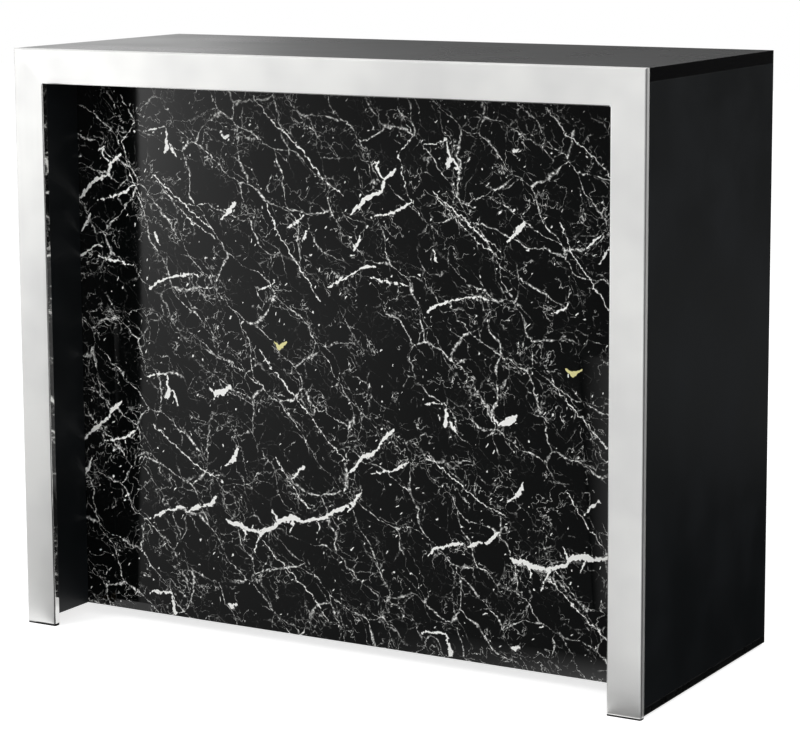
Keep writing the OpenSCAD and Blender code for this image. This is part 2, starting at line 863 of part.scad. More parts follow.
module runner_wall_screws() color("gray") both_runners() wall_member_screws();
module runner_drawer_screws() color("gray") both_runners() drawer_member_screws();

module ball_cages() color("gray") both_runners() cage_plate();

module runner_balls() color("silver") both_runners() ball_places() sphere(ball_r);

// Drawer

// Teeth of a corner joint: slices of the box height with the given remainder.
module finger_slices(odd) {
    h = drawer_side_h / drawer_fingers;
    for (k = [odd : 2 : drawer_fingers - 1])
        translate([box_x0 - past, box_y0 - past, box_z0 + k * h])
            cube([box_x1 - box_x0 + 2 * past, runner_l + 2 * past, h]);
}

module drawer_side(x) {
    difference() {
        block([x, box_y0, box_z0], [x + drawer_side_t, box_y1, box_z1]);
        intersection() {
            for (y = [box_y0 - past, box_y1 - drawer_side_t])
                block([x - past, y, box_z0], [x + drawer_side_t + past, y + drawer_side_t + past,
                    box_z1]);
            finger_slices(1);
        }
        bottom_groove();
        runner_drawer_holes();
    }
}

module drawer_end(y) {
    difference() {
        block([box_x0, y, box_z0], [box_x1, y + drawer_side_t, box_z1]);
        intersection() {
            for (x = [box_x0 - past, box_x1 - drawer_side_t])
                block([x, y - past, box_z0], [x + drawer_side_t + past, y + drawer_side_t + past,
                    box_z1]);
            finger_slices(0);
        }
        bottom_groove();
    }
}

module bottom_groove() {
    block([box_x0 + drawer_side_t - drawer_groove, box_y0 + drawer_side_t - drawer_groove,
        box_z0 + drawer_groove_rise],
        [box_x1 - drawer_side_t + drawer_groove, box_y1 - drawer_side_t + drawer_groove,
        box_z0 + drawer_groove_rise + drawer_bottom_t]);
}

module drawer_sides() color("wheat") {
    drawer_side(box_x0);
    drawer_side(box_x1 - drawer_side_t);
}

module drawer_box_front() color("wheat") difference() {
    drawer_end(box_y1 - drawer_side_t);
    drawer_screw_holes();
}

module drawer_back() color("wheat") drawer_end(box_y0);
module drawer_bottom() color("wheat") bottom_groove();

module drawer_front() color([0.07, 0.07, 0.07]) difference() {
    board([-x_in + front_gap, y_door_in, drawer_z0], [-x_part - front_gap, y_service,
        drawer_z0 + drawer_front_h]);
    drawer_pull_place() pull_pocket();
    drawer_screw_holes();
}

drawer_screw_xs = [box_x0 + drawer_screw_inset, box_x1 - drawer_screw_inset];
drawer_screw_zs = [
    box_z0 + drawer_groove_rise + drawer_bottom_t + drawer_screw_edge,
    box_z1 - drawer_screw_edge,
];

module drawer_screw_holes() {
    for (x = drawer_screw_xs, z = drawer_screw_zs)
        screw_hole([x, box_y1 - drawer_side_t, z], [0, 1, 0], drawer_side_t);
}

module drawer_front_screws() color("gray") {
    for (x = drawer_screw_xs, z = drawer_screw_zs)
        screw([x, box_y1 - drawer_side_t, z], [0, 1, 0], drawer_side_t);
}

// Flush pulls. A pull lies along x with its face at z = 0 and its cup along -z.

// Outline with half-round ends.
module slot_outline(l, w) {
    square([l - w, w], center = true);
    for (s = [-1, 1]) translate([s * (l - w) / 2, 0]) circle(d = w);
}

module pull_body(play, open) {
    translate([0, 0, -pull_sheet - play]) linear_extrude(pull_sheet + play + open)
        slot_outline(pull_l + 2 * play, pull_w + 2 * play);
    translate([0, 0, -pull_depth - play]) linear_extrude(pull_depth + play)
        slot_outline(pull_l - 2 * pull_flange + 2 * play, pull_w - 2 * pull_flange + 2 * play);
}

module pull_pocket() {
    pull_body(pull_play, past);
}

module pull() {
    difference() {
        pull_body(0, 0);
        translate([0, 0, -pull_depth + pull_sheet]) linear_extrude(pull_depth)
            slot_outline(pull_l - 2 * pull_flange - 2 * pull_sheet,
                pull_w - 2 * pull_flange - 2 * pull_sheet);
    }
}

module drawer_pull_place() {
    translate([-(x_in + x_part) / 2, y_service, drawer_z0 + drawer_front_h / 2])
        rotate([-90, 0, 0]) children();
}

module door_pull_place() {
    translate([door_x0 + pull_inset, y_service, door_pull_z])
        rotate([-90, 0, 0]) rotate([0, 0, 90]) children();
}

module drawer_pull() color("silver") drawer_pull_place() pull();
module door_pull() color("silver") door_pull_place() pull();

// Door, hinges and catch

module door() color([0.07, 0.07, 0.07]) difference() {
    board([door_x0, y_door_in, door_z0], [door_x1, y_service, door_z1]);
    door_pull_place() pull_pocket();
    hinge_screw_holes();
    strike_screw_holes();
}

// Knuckles with the given remainder, as rings or, with grow, as the room round them.
module knuckle_set(z, odd, r, grow) {
    for (k = [odd : 2 : knuckles - 1])
        translate([pin_x, pin_y, z - hinge_h / 2 + k * knuckle_h + knuckle_gap / 2 - grow])
            cylinder(r = r, h = knuckle_h - knuckle_gap + 2 * grow);
}

// A leaf from x to x + leaf_t, with its own knuckles and room for the other leaf's.
module leaf(x, z, odd, bore_r) {
    difference() {
        union() {
            block([x, pin_y - leaf_w, z - hinge_h / 2], [x + leaf_t, pin_y, z + hinge_h / 2]);
            knuckle_set(z, odd, knuckle_r, 0);
        }
        knuckle_set(z, 1 - odd, knuckle_r + knuckle_gap, knuckle_gap / 2 + (odd ? past : 0));
        translate([pin_x, pin_y, z - hinge_h]) cylinder(r = bore_r, h = 2 * hinge_h);
        hinge_screw_cones();
    }
}

module hinge_wall_leaves() color("silver") {
    for (z = hinge_zs) leaf(x_in - leaf_t, z, 0, hinge_pin_r);
}

module hinge_door_leaves() color("silver") {
    for (z = hinge_zs) leaf(door_x1, z, 1, hinge_pin_r + hinge_play);
}

module hinge_pins() color("silver") {
    for (z = hinge_zs)
        translate([pin_x, pin_y, z - hinge_h / 2]) cylinder(r = hinge_pin_r, h = hinge_h);
}

// Places of the hinge screws, as [y, z]: two near a leaf's ends and one between, further from the pin.
hinge_screw_places = [for (z = hinge_zs, k = [-1, 0, 1])
    [pin_y - (k == 0 ? leaf_w - hinge_screw_edge : leaf_w / 2), z + k * (hinge_h / 2 - hinge_screw_end)]];

module hinge_wall_screws() color("gray") {
    for (p = hinge_screw_places) flush_screw([x_in - leaf_t, p.x, p.y], [1, 0, 0], leaf_t);
}

module hinge_door_screws() color("gray") {
    for (p = hinge_screw_places) flush_screw([door_x1 + leaf_t, p.x, p.y], [-1, 0, 0], leaf_t);
}

module hinge_screw_cones() {
    hinge_wall_screws();
    hinge_door_screws();
}

module hinge_screw_holes() {
    for (p = hinge_screw_places) {
        screw_hole([x_in, p.x, p.y], [1, 0, 0], 0);
        screw_hole([door_x1, p.x, p.y], [-1, 0, 0], 0);
    }
}

// Heights of the catch's screws, in the middle of its ears, and of the strike plate's.
catch_screw_zs = [for (s = [-1, 1]) catch_z + s * (catch_h - catch_ear_h) / 2];
strike_screw_zs = [for (s = [-1, 1]) catch_z + s * (strike_h / 2 - strike_screw_end)];

module door_catch() color([0.1, 0.1, 0.1]) difference() {
    board([x_part, catch_y0, catch_z - catch_h / 2],
        [x_part + catch_w, catch_y1, catch_z + catch_h / 2]);
    for (z = catch_screw_zs)
        block([x_part + catch_ear_t, catch_y0 - past, z - (z < catch_z ? past : 0) - catch_ear_h / 2],
            [x_part + catch_w + past, catch_y1 + past, z + (z > catch_z ? past : 0) + catch_ear_h / 2]);
    block([x_part + catch_wall, catch_y1 - magnet_l, catch_z - magnet_h / 2],
        [x_part + catch_w - catch_wall, catch_y1 + past, catch_z + magnet_h / 2]);
    catch_screw_holes();
}

// Magnet between its two pole plates, which reach the catch's mouth.
module catch_magnet() color("dimgray") {
    x0 = x_part + catch_wall;
    x1 = x_part + catch_w - catch_wall;
    for (x = [x0, x1 - pole_t])
        block([x, catch_y1 - magnet_l, catch_z - magnet_h / 2],
            [x + pole_t, catch_y1, catch_z + magnet_h / 2]);
    block([x0 + pole_t, catch_y1 - magnet_l, catch_z - magnet_h / 2],
        [x1 - pole_t, catch_y1 - magnet_recess, catch_z + magnet_h / 2]);
}

module catch_screw_holes() {
    for (z = catch_screw_zs)
        screw_hole([x_part + catch_ear_t, (catch_y0 + catch_y1) / 2, z], [-1, 0, 0], catch_ear_t);
}

module catch_screws() color("gray") {
    for (z = catch_screw_zs)
        screw([x_part + catch_ear_t, (catch_y0 + catch_y1) / 2, z], [-1, 0, 0], catch_ear_t);
}

module strike_plate() color("silver") difference() {
    block([strike_x0, y_door_in - strike_t, catch_z - strike_h / 2],
        [strike_x1, y_door_in, catch_z + strike_h / 2]);
    strike_screws();
}

module strike_screws() color("gray") {
    for (z = strike_screw_zs)
        flush_screw([(strike_x0 + strike_x1) / 2, y_door_in - strike_t, z], [0, 1, 0], strike_t);
}

module strike_screw_holes() {
    for (z = strike_screw_zs)
        screw_hole([(strike_x0 + strike_x1) / 2, y_door_in, z], [0, 1, 0], 0);
}

frame_left_post();
frame_right_post();
frame_top_rail();
left_post_core();
right_post_core();
top_rail_core();
post_pads();
worktop();
left_side_panel();
right_side_panel();
left_base_strip();
right_base_strip();
left_inner_wall();
right_inner_wall();
front_stiles();
rear_stiles();
wing_battens();
front_panel();
bottom_board();
centre_partition();
plinth_board();
open_bay_shelf();
cupboard_shelf();
shelf_pins();
rear_feet();
middle_foot();
runner_wall_members();
runner_drawer_members();
ball_cages();
runner_balls();
runner_wall_screws();
runner_drawer_screws();
drawer_front();
drawer_sides();
drawer_box_front();
drawer_back();
drawer_bottom();
drawer_pull();
door();
door_pull();
hinge_wall_leaves();
hinge_door_leaves();
hinge_pins();
door_catch();
catch_magnet();
catch_screws();
strike_plate();
strike_screws();
worktop_brackets();
rail_brackets();
bracket_screws();
frame_screws();
hinge_wall_screws();
hinge_door_screws();
drawer_front_screws();
cam_locks();
cam_bolts();
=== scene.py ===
"""Bar cabinet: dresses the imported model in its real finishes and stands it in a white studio."""

import logging
import math
from collections.abc import Callable, Mapping, Sequence
from dataclasses import dataclass
from enum import Enum
from functools import partial
from typing import ClassVar

import bmesh
import bpy
from mathutils import Matrix, Vector


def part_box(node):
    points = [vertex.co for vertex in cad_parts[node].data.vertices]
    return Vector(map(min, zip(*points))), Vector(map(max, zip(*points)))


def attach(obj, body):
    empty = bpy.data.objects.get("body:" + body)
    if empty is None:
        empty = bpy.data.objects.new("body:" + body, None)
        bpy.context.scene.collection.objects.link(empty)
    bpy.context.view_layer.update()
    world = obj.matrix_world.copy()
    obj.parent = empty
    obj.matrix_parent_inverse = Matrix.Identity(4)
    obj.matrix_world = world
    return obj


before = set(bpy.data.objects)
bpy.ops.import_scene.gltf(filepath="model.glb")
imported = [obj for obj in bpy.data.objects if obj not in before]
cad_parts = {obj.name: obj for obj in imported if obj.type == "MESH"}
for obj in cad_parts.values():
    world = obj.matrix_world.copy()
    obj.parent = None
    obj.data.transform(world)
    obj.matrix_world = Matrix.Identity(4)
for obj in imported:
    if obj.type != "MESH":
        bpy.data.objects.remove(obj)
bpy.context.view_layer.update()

MM = 0.001
# A noise lies mostly between the first two values, and nearly wholly between the others.
NOISE_MIDDLE = (0.35, 0.65)
NOISE_SPAN = (0.3, 0.7)

Node = bpy.types.Node
Socket = bpy.types.NodeSocket
Source = Node | Socket
Material = bpy.types.Material
Point = tuple[float, float, float]
Spot = tuple[float, float]
Curve = tuple[Spot, ...]
# Adds a node to one tree, as add_node does.
Adder = Callable[..., Node]
log = logging.getLogger("bar_cabinet")


class Axis(Enum):
    """A direction in the cabinet's frame: along its width, its depth or its height."""

    WIDTH = 0
    DEPTH = 1
    HEIGHT = 2


def linear(colour: str) -> tuple[float, float, float, float]:
    """Turns an sRGB hex colour into Blender's linear colour.

    Args:
        colour: six hex digits, such as "c8c8c6".

    Returns:
        Linear red, green, blue and an alpha of 1.
    """
    shares = [int(colour[i:i + 2], 16) / 255 for i in (0, 2, 4)]
    red, green, blue = (s / 12.92 if s <= 0.04045 else ((s + 0.055) / 1.055) ** 2.4 for s in shares)
    return red, green, blue, 1.0


def add_node(
    tree: bpy.types.NodeTree,
    kind: str,
    inputs: Mapping[str, object] | Sequence[object] = (),
    **settings: object,
) -> Node:
    """Adds one shader node with its settings and its inputs.

    Args:
        tree: the node tree that gets the node.
        kind: Blender's name for the node's type, after ShaderNode.
        inputs: what goes into the node's sockets, by name or in the order in which it shows them. A socket
            is linked, and so is a node's first output. Anything else is set, and text is a hex colour.
        settings: the node's properties, such as its operation.

    Returns:
        The new node.
    """
    node = tree.nodes.new(f"ShaderNode{kind}")
    for name, value in settings.items():
        setattr(node, name, value)
    if isinstance(inputs, Mapping):
        pairs = [(node.inputs[name], value) for name, value in inputs.items()]
    else:
        pairs = zip((socket for socket in node.inputs if socket.enabled), inputs)
    for socket, value in pairs:
        if isinstance(value, Node):
            value = next(output for output in value.outputs if output.enabled)
        if isinstance(value, Socket):
            tree.links.new(value, socket)
        else:
            socket.default_value = linear(value) if isinstance(value, str) else value
    return node


def make_material(name: str, draw: Callable[[Adder, Node], Node]) -> Material:
    """Makes a node material.

    Args:
        name: the material's name.
        draw: adds the shader, given what adds a node and the place on the piece in millimetres.

    Returns:
        The material.
    """
    material = bpy.data.materials.new(name)
    material.use_nodes = True
    material.node_tree.nodes.clear()
    add = partial(add_node, material.node_tree)
    metres = add("TexCoord").outputs["Object"]
    place = add("VectorMath", (metres, 1 / MM), operation="SCALE")
    add("OutputMaterial", (draw(add, place),))
    return material


def add_surface(add: Adder, height: Node, relief: Spot, inputs: Mapping[str, object]) -> Node:
    """Adds a finish's shader over its relief.

    Args:
        add: adds a node to the tree.
        height: the relief's pattern.
        relief: the relief's strength and its depth in millimetres.
        inputs: the shader's other inputs, by name.

    Returns:
        The shader.
    """
    strength, depth_mm = relief
    bump = add("Bump", {"Strength": strength, "Distance": depth_mm * MM, "Height": height})
    return add("BsdfPrincipled", {"Normal": bump, **inputs})


def stretched_noise(
    add: Adder,
    place: Node,
    size_mm: float | Point,
    detail: float,
    roughness: float = 0.5,
    flat: bool = False,
) -> Node:
    """Draws noise whose lumps have a real size.

    Args:
        add: adds a node to the tree.
        place: coordinates in millimetres.
        size_mm: the size of a lump, or its sizes along the width, the depth and the height.
        detail: octaves of finer noise on top.
        roughness: how strong the finer octaves are.
        flat: whether the noise lies in a plane, as a print does.

    Returns:
        The noise's value, from 0 to 1 around 0.5.
    """
    sizes = size_mm if isinstance(size_mm, tuple) else (size_mm,) * 3
    fitted = add("VectorMath", (place, tuple(1 / size for size in sizes)), operation="MULTIPLY")
    dimensions = "2D" if flat else "3D"
    return add("TexNoise", (fitted, 1.0, detail, roughness), noise_dimensions=dimensions)


def by_grain(grain: Axis, along_mm: float, across_mm: float) -> Point:
    """Gives the sizes of a lump that is drawn out along the grain."""
    return tuple(along_mm if axis is grain else across_mm for axis in Axis)


def looked_up(add: Adder, value: Source, points: Sequence[Spot]) -> Node:
    """Looks a value up on a line of straight stretches.

    Args:
        add: adds a node to the tree.
        value: the value to look up.
        points: the points that the line goes through.

    Returns:
        The line's height there.
    """
    node = add("FloatCurve", {"Value": value})
    node.mapping.use_clip = False
    stops = node.mapping.curves[0].points
    # A new curve has two points already.
    for number, place in enumerate(points):
        stop = stops[number] if number < 2 else stops.new(*place)
        stop.location = place
        stop.handle_type = "VECTOR"
    node.mapping.update()
    return node


def highest(add: Adder, first: Source, *others: Source) -> Source:
    """Gives the highest of some values, which lays drawings of white over each other.

    Args:
        add: adds a node to the tree.
        first: one value.
        others: the rest.

    Returns:
        The highest.
    """
    for other in others:
        first = add("Math", (first, other), operation="MAXIMUM")
    return first


def facing(add: Adder, axis: Axis) -> Socket:
    """Tells how far a face looks along an axis, from -1 to 1."""
    return add("SeparateXYZ", (add("TexCoord").outputs["Normal"],)).outputs[axis.value]


class Finish:
    """A real finish, which draws itself with shader nodes."""

    name: str

    def draw(self, add: Adder, place: Node) -> Node:
        """Adds the finish's shader.

        Args:
            add: adds a node to the tree.
            place: the place on the piece in millimetres.

        Returns:
            The shader.
        """
        raise NotImplementedError

    def build(self) -> Material:
        """Builds the material, named for the finish and for the directions that it runs in."""
        axes = (value.name.lower() for value in vars(self).values() if isinstance(value, Axis))
        return make_material("_".join((self.name, *axes)), self.draw)


@dataclass(frozen=True)
class BrushedStainless(Finish):
    """Austenitic stainless steel sheet, belt-brushed along the member and folded.

    It gives the eye a pale, soft mirror with fine lines along the member and faint hand marks.

    Attributes:
        grain: the direction of the brushing.
        name: the finish's name.
        colour: the metal's own colour.
        worn_colour: the metal where it is handled.
        roughness: the lowest and the highest roughness of the brushed lines.
        cloud_roughness: how much rougher the clouds are.
        line_mm: spacing of the brushed lines, drawn coarser than the real 0.3 mm so that they show.
        line_length_mm: length of one brushed line.
        cloud_mm: size of the clouds that hands and cloths leave.
        line_depth_mm: depth of the brushed lines.
        line_relief: how strong their relief is.
        anisotropy: how far the lines draw a glint out across them.
        opening_mm: the middle of the portal's opening; a return that faces it is the bright rolled skin,
            which the brushing belt doesn't reach.
        return_mm: how far across the opening a face looks before it counts as a return, and wholly so.
        rolled_roughness: roughness of the rolled skin.
        return_roughness: roughness of the outer returns, which are brushed across their edge.
        fold_mm: where the fold's curve ends behind the face, and how far it reaches: the painted dark line.
        painted_fold_colour: painted dark reflection in that fold, a darker tone for the dark surroundings
            it mirrors.
    """

    grain: Axis
    name: str = "brushed_stainless"
    colour: str = "eeeeec"
    worn_colour: str = "e2e2e1"
    roughness: Spot = (0.32, 0.42)
    cloud_roughness: float = 0.03
    line_mm: float = 1.6
    line_length_mm: float = 240.0
    cloud_mm: float = 130.0
    line_depth_mm: float = 0.006
    line_relief: float = 0.5
    anisotropy: float = 0.7
    opening_mm: Point = (0.0, 0.0, 480.0)
    return_mm: Spot = (100.0, 200.0)
    rolled_roughness: float = 0.06
    return_roughness: float = 0.52
    fold_mm: Spot = (-246.4, -245.6)
    painted_fold_colour: str = "858586"

    def _returns(self, add: Adder, place: Node) -> tuple[Node, Node]:
        """Tells the returns from the face.

        Args:
            add: adds a node to the tree.
            place: the place on the piece in millimetres.

        Returns:
            How far the face is an inner return, which looks into the opening, and an outer one.
        """
        inward = add("VectorMath", (self.opening_mm, place), operation="SUBTRACT")
        level = add("VectorMath", (inward, (1.0, 0.0, 1.0)), operation="MULTIPLY")
        normal = add("TexCoord").outputs["Normal"]
        toward = add("VectorMath", (level, normal), operation="DOT_PRODUCT")
        near, far = self.return_mm
        inner = add("MapRange", (toward, near, far))
        return inner, add("MapRange", (toward, -far, -near, 1.0, 0.0))

    def draw(self, add: Adder, place: Node) -> Node:
        """Adds the shader of the brushed face and its returns, with painted dark reflection along the
        folds.

        Args:
            add: adds a node to the tree.
            place: the place on the piece in millimetres.

        Returns:
            The shader.
        """
        inner, outer = self._returns(add, place)
        size_mm = by_grain(self.grain, self.line_length_mm, self.line_mm)
        lines = stretched_noise(add, place, size_mm, detail=3.0, roughness=0.65)
        clouds = stretched_noise(add, place, self.cloud_mm, detail=2.0)
        clean = add("MapRange", (clouds, *NOISE_MIDDLE))
        colour = add("Mix", (clean, self.worn_colour, self.colour), data_type="RGBA")
        # Painted reflection: outer returns darken to painted_fold_colour next to the face, for the dark
        # that the fold mirrors.
        depth = add("SeparateXYZ", (place,)).outputs["Y"]
        painted_fold_mask = add("MapRange", (depth, *self.fold_mm, 1.0, 0.0))
        painted_fold_mask = add("Math", (painted_fold_mask, outer), operation="MULTIPLY")
        sideways = add("Math", (facing(add, Axis.WIDTH),), operation="ABSOLUTE")
        painted_fold_mask = add("Math", (painted_fold_mask, sideways), operation="MULTIPLY")
        colour = add("Mix", (painted_fold_mask, colour, self.painted_fold_colour), data_type="RGBA")
        brushed = add("MapRange", (lines, *NOISE_SPAN, *self.roughness))
        clouded = add("MapRange", (clouds, *NOISE_SPAN, self.cloud_roughness, 0.0))
        roughness = add("Math", (brushed, clouded), operation="ADD")
        roughness = add("Mix", (inner, roughness, self.rolled_roughness))
        roughness = add("Mix", (outer, roughness, self.return_roughness))
        across = add("Tangent", direction_type="RADIAL", axis="XYZ"[self.grain.value])
        looks = {"Metallic": 1.0, "Anisotropic": self.anisotropy, "Tangent": across}
        looks |= {"Base Color": colour, "Roughness": roughness}
        return add_surface(add, lines, (self.line_relief, self.line_depth_mm), looks)


@dataclass(frozen=True)
class Ragging:
    """A noise that pushes places about, so that what is drawn on them gets ragged.

    Attributes:
        lump_mm: size of the noise's lumps.
        reach_mm: how far a place may be pushed.
        detail: octaves of finer noise.
        roughness: how strong the finer octaves are.
    """

    lump_mm: float
    reach_mm: float
    detail: float
    roughness: float = 0.62

    def push(self, add: Adder, place: Node) -> Node:
        """Pushes a place about.

        Args:
            add: adds a node to the tree.
            place: millimetres across and down.

        Returns:
            The pushed place.
        """
        inputs = (place, 1 / self.lump_mm, self.detail, self.roughness)
        noise = add("TexNoise", inputs, noise_dimensions="2D").outputs["Color"]
        centred = add("VectorMath", (noise, (0.5, 0.5, 0.5)), operation="SUBTRACT")
        reach = (2 * self.reach_mm, 2 * self.reach_mm, 0.0)
        return add("VectorMath", (centred, reach, place), operation="MULTIPLY_ADD")


@dataclass(frozen=True)
class Cells:
    """A field of cells on which a layer of the stone print is drawn.

    Attributes:
        cell_mm: size of a cell across the layer's run.
        stretch: how many times longer a cell is along the run.
        run_deg: the run's direction, in degrees below the horizontal towards the right.
        seed: shifts the layer, so that no two lie alike.
    """

    cell_mm: float
    stretch: float
    run_deg: float
    seed: float

    def cells(self, add: Adder, place: Node) -> Node:
        """Turns and stretches a place so that a cell is one unit wide.

        Args:
            add: adds a node to the tree.
            place: ragged millimetres across and down.

        Returns:
            The place in cells.
        """
        run = math.radians(self.run_deg)
        long_mm = self.cell_mm * self.stretch
        along = (math.cos(run) / long_mm, math.sin(run) / long_mm, 0.0)
        across = (-math.sin(run) / self.cell_mm, math.cos(run) / self.cell_mm, 0.0)
        parts = [add("VectorMath", (place, way), operation="DOT_PRODUCT") for way in (along, across)]
        shift = (self.seed, self.seed, 0.0)
        return add("VectorMath", (add("CombineXYZ", parts), shift), operation="ADD")


@dataclass(frozen=True)
class Crackle(Cells):
    """One layer of the stone print's fine net of cracks, which run between the cells.

    Attributes:
        half_width_mm: half the usual width of a crack.
        tone: how white a crack is, from 0 to 1.
        patch_mm: size of the patches in which the layer shows.
        cover: share of the panel on which the layer shows.
        swell: the least and the greatest width of a crack, in usual widths.
        swell_cells: length of a swelling, in cells.
        swell_span: from where to where in a noise a crack swells from the least to the greatest width.
        fade: where a crack's edge starts and ends to fade, in half widths.
        patch_edge: how softly a patch ends, in the noise's values.
        patch_range: how far the cover moves the patches' edge, in the noise's values.
    """

    half_width_mm: float
    tone: float
    patch_mm: float
    cover: float
    swell: Spot = (0.2, 2.4)
    swell_cells: float = 0.35
    swell_span: Spot = (0.36, 0.7)
    fade: Spot = (0.4, 1.6)
    patch_edge: float = 0.04
    patch_range: float = 0.3

    def draw(self, add: Adder, place: Node) -> tuple[Node, Node]:
        """Draws the layer.

        Args:
            add: adds a node to the tree.
            place: ragged millimetres across and down.

        Returns:
            How white the layer is, from 0 to 1, and the distance to its nearest crack in cells.
        """
        cells = self.cells(add, place)
        settings = {"voronoi_dimensions": "2D", "feature": "DISTANCE_TO_EDGE"}
        distance = add("TexVoronoi", (cells, 1.0), **settings)
        body = stretched_noise(add, cells, self.swell_cells, detail=2.0, flat=True)
        width = add("MapRange", (body, *self.swell_span, *self.swell))
        share = add("Math", (distance, width), operation="DIVIDE")
        start, end = (edge * self.half_width_mm / self.cell_mm for edge in self.fade)
        line = add("MapRange", (share, start, end, self.tone, 0.0))
        patches = stretched_noise(add, cells, self.patch_mm / self.cell_mm, detail=2.0, flat=True)
        threshold = 0.5 + (0.5 - self.cover) * self.patch_range
        inputs = (patches, threshold - self.patch_edge, threshold + self.patch_edge)
        shown = add("MapRange", inputs)
        return add("Math", (line, shown), operation="MULTIPLY"), distance


@dataclass(frozen=True)
class Flecks(Cells):
    """Scattered slivers of white, at most one to a cell, that lean to the right as the larger ones do.

    Attributes:
        tone: how white a fleck is, from 0 to 1.
        bare: share of the cells that have none.
        radius: the largest fleck's radius, in cells.
        edge: how softly a fleck ends, in cells.
    """

    tone: float
    bare: float
    radius: float
    edge: float

    def draw(self, add: Adder, place: Node) -> Node:
        """Draws the flecks.

        Args:
            add: adds a node to the tree.
            place: ragged millimetres across and down.

        Returns:
            How white they are, from 0 to 1.
        """
        settings = {"voronoi_dimensions": "2D", "feature": "F1"}
        spots = add("TexVoronoi", (self.cells(add, place), 1.0), **settings)
        chance = add("SeparateColor", (spots.outputs["Color"],))
        radius = add("MapRange", (chance, self.bare, 1.0, 0.0, self.radius))
        past = add("Math", (spots, radius), operation="SUBTRACT")
        return add("MapRange", (past, -self.edge, 0.0, self.tone, 0.0))


@dataclass(frozen=True)
class Curls:
    """The small curled cracks, which follow the level lines of a noise.

    Attributes:
        curl_mm: size of a curl.
        patch_mm: size of the patches in which they show.
        tone: how white a curl is, from 0 to 1.
        fade: where a curl's edge starts and ends to fade, in the noise's values.
        patch_edge: where a patch starts to show and shows wholly, in the noise's values.
    """

    curl_mm: float
    patch_mm: float
    tone: float
    fade: Spot
    patch_edge: Spot = (0.53, 0.58)

    def draw(self, add: Adder, place: Node) -> Node:
        """Draws the curls.

        Args:
            add: adds a node to the tree.
            place: ragged millimetres across and down.

        Returns:
            How white they are, from 0 to 1.
        """
        level = stretched_noise(add, place, self.curl_mm, detail=3.0, roughness=0.55, flat=True)
        off = add("Math", (level, 0.5), operation="SUBTRACT")
        away = add("Math", (off,), operation="ABSOLUTE")
        line = add("MapRange", (away, *self.fade, self.tone, 0.0))
        patches = stretched_noise(add, place, self.patch_mm, detail=2.0, flat=True)
        shown = add("MapRange", (patches, *self.patch_edge))
        return add("Math", (line, shown), operation="MULTIPLY")


PRINT_REPEAT_MM = 555.0
PRINT_SEAM_MM = -45.0
COURSE_GAP_MM = 7.0
COURSE_END_MM = 2.5
NO_VEIN_MM = -8.0

# A vein's points: across, down and half width, in millimetres from the panel's upper left corner.
Vein = tuple[Point, ...]


def split_runs(veins: Sequence[Vein]) -> dict[bool, list[list[Point]]]:
    """Cuts veins into runs that go steadily across the print or steadily down it.

    Args:
        veins: the veins.

    Returns:
        For steep runs (True) and level runs (False), lists of points: the place along the run's
        direction, the place off it, and the half width measured off it. They rise along the run.
    """
    runs: dict[bool, list[list[Point]]] = {True: [], False: []}
    for vein in veins:
        last: tuple[bool, bool] | None = None
        for start, end in zip(vein, vein[1:]):
            steep = abs(end[1] - start[1]) > abs(end[0] - start[0])
            order = (1, 0) if steep else (0, 1)
            (s0, t0), (s1, t1) = ((point[order[0]], point[order[1]]) for point in (start, end))
            slant = math.hypot(1.0, (t1 - t0) / (s1 - s0))
            ends = [(s0, t0, start[2] * slant), (s1, t1, end[2] * slant)]
            rising = s1 > s0
            if last == (steep, rising):
                run = runs[steep][-1]
                run.insert(len(run) if rising else 0, ends[1])
            else:
                runs[steep].append(ends if rising else ends[::-1])
            last = (steep, rising)
    return runs


def packed_courses(runs: Sequence[list[Point]]) -> list[list[Point]]:
    """Packs runs that lie clear of each other end to end, for one line of changing width to draw.

    Args:
        runs: runs as split_runs gives them.

    Returns:
        The courses, each a list of points along the line, whose width is negative between its runs.
    """
    courses: list[list[Point]] = []
    for run in sorted(runs, key=lambda points: points[0][0]):
        (s0, t0, _), (s1, t1, _) = run[0], run[-1]
        whole = [(s0 - COURSE_END_MM, t0, NO_VEIN_MM), *run, (s1 + COURSE_END_MM, t1, NO_VEIN_MM)]
        for course in courses:
            if course[-1][0] + COURSE_GAP_MM < s0:
                course.extend(whole)
                break
        else:
            courses.append(whole)
    return courses


def past_veins(add: Adder, place: Node, veins: Sequence[Vein]) -> Node:
    """Measures how far outside the nearest vein a place lies.

    Args:
        add: adds a node to the tree.
        place: ragged millimetres across and down, within one repeat of the print.
        veins: the veins.

    Returns:
        The distance past the vein's edge in millimetres, negative inside it.
    """
    parts = add("SeparateXYZ", (place,)).outputs
    nearest: Node | None = None
    for steep, runs in split_runs(veins).items():
        along, off = (parts["Y"], parts["X"]) if steep else (parts["X"], parts["Y"])
        for course in packed_courses(runs):
            middle = looked_up(add, along, [(s, t) for s, t, _ in course])
            half_width = looked_up(add, along, [(s, w) for s, _, w in course])
            away = add("Math", (off, middle), operation="SUBTRACT")
            away = add("Math", (away,), operation="ABSOLUTE")
            past = add("Math", (away, half_width), operation="SUBTRACT")
            if nearest is not None:
                past = add("Math", (nearest, past), operation="MINIMUM")
            nearest = past
    return nearest


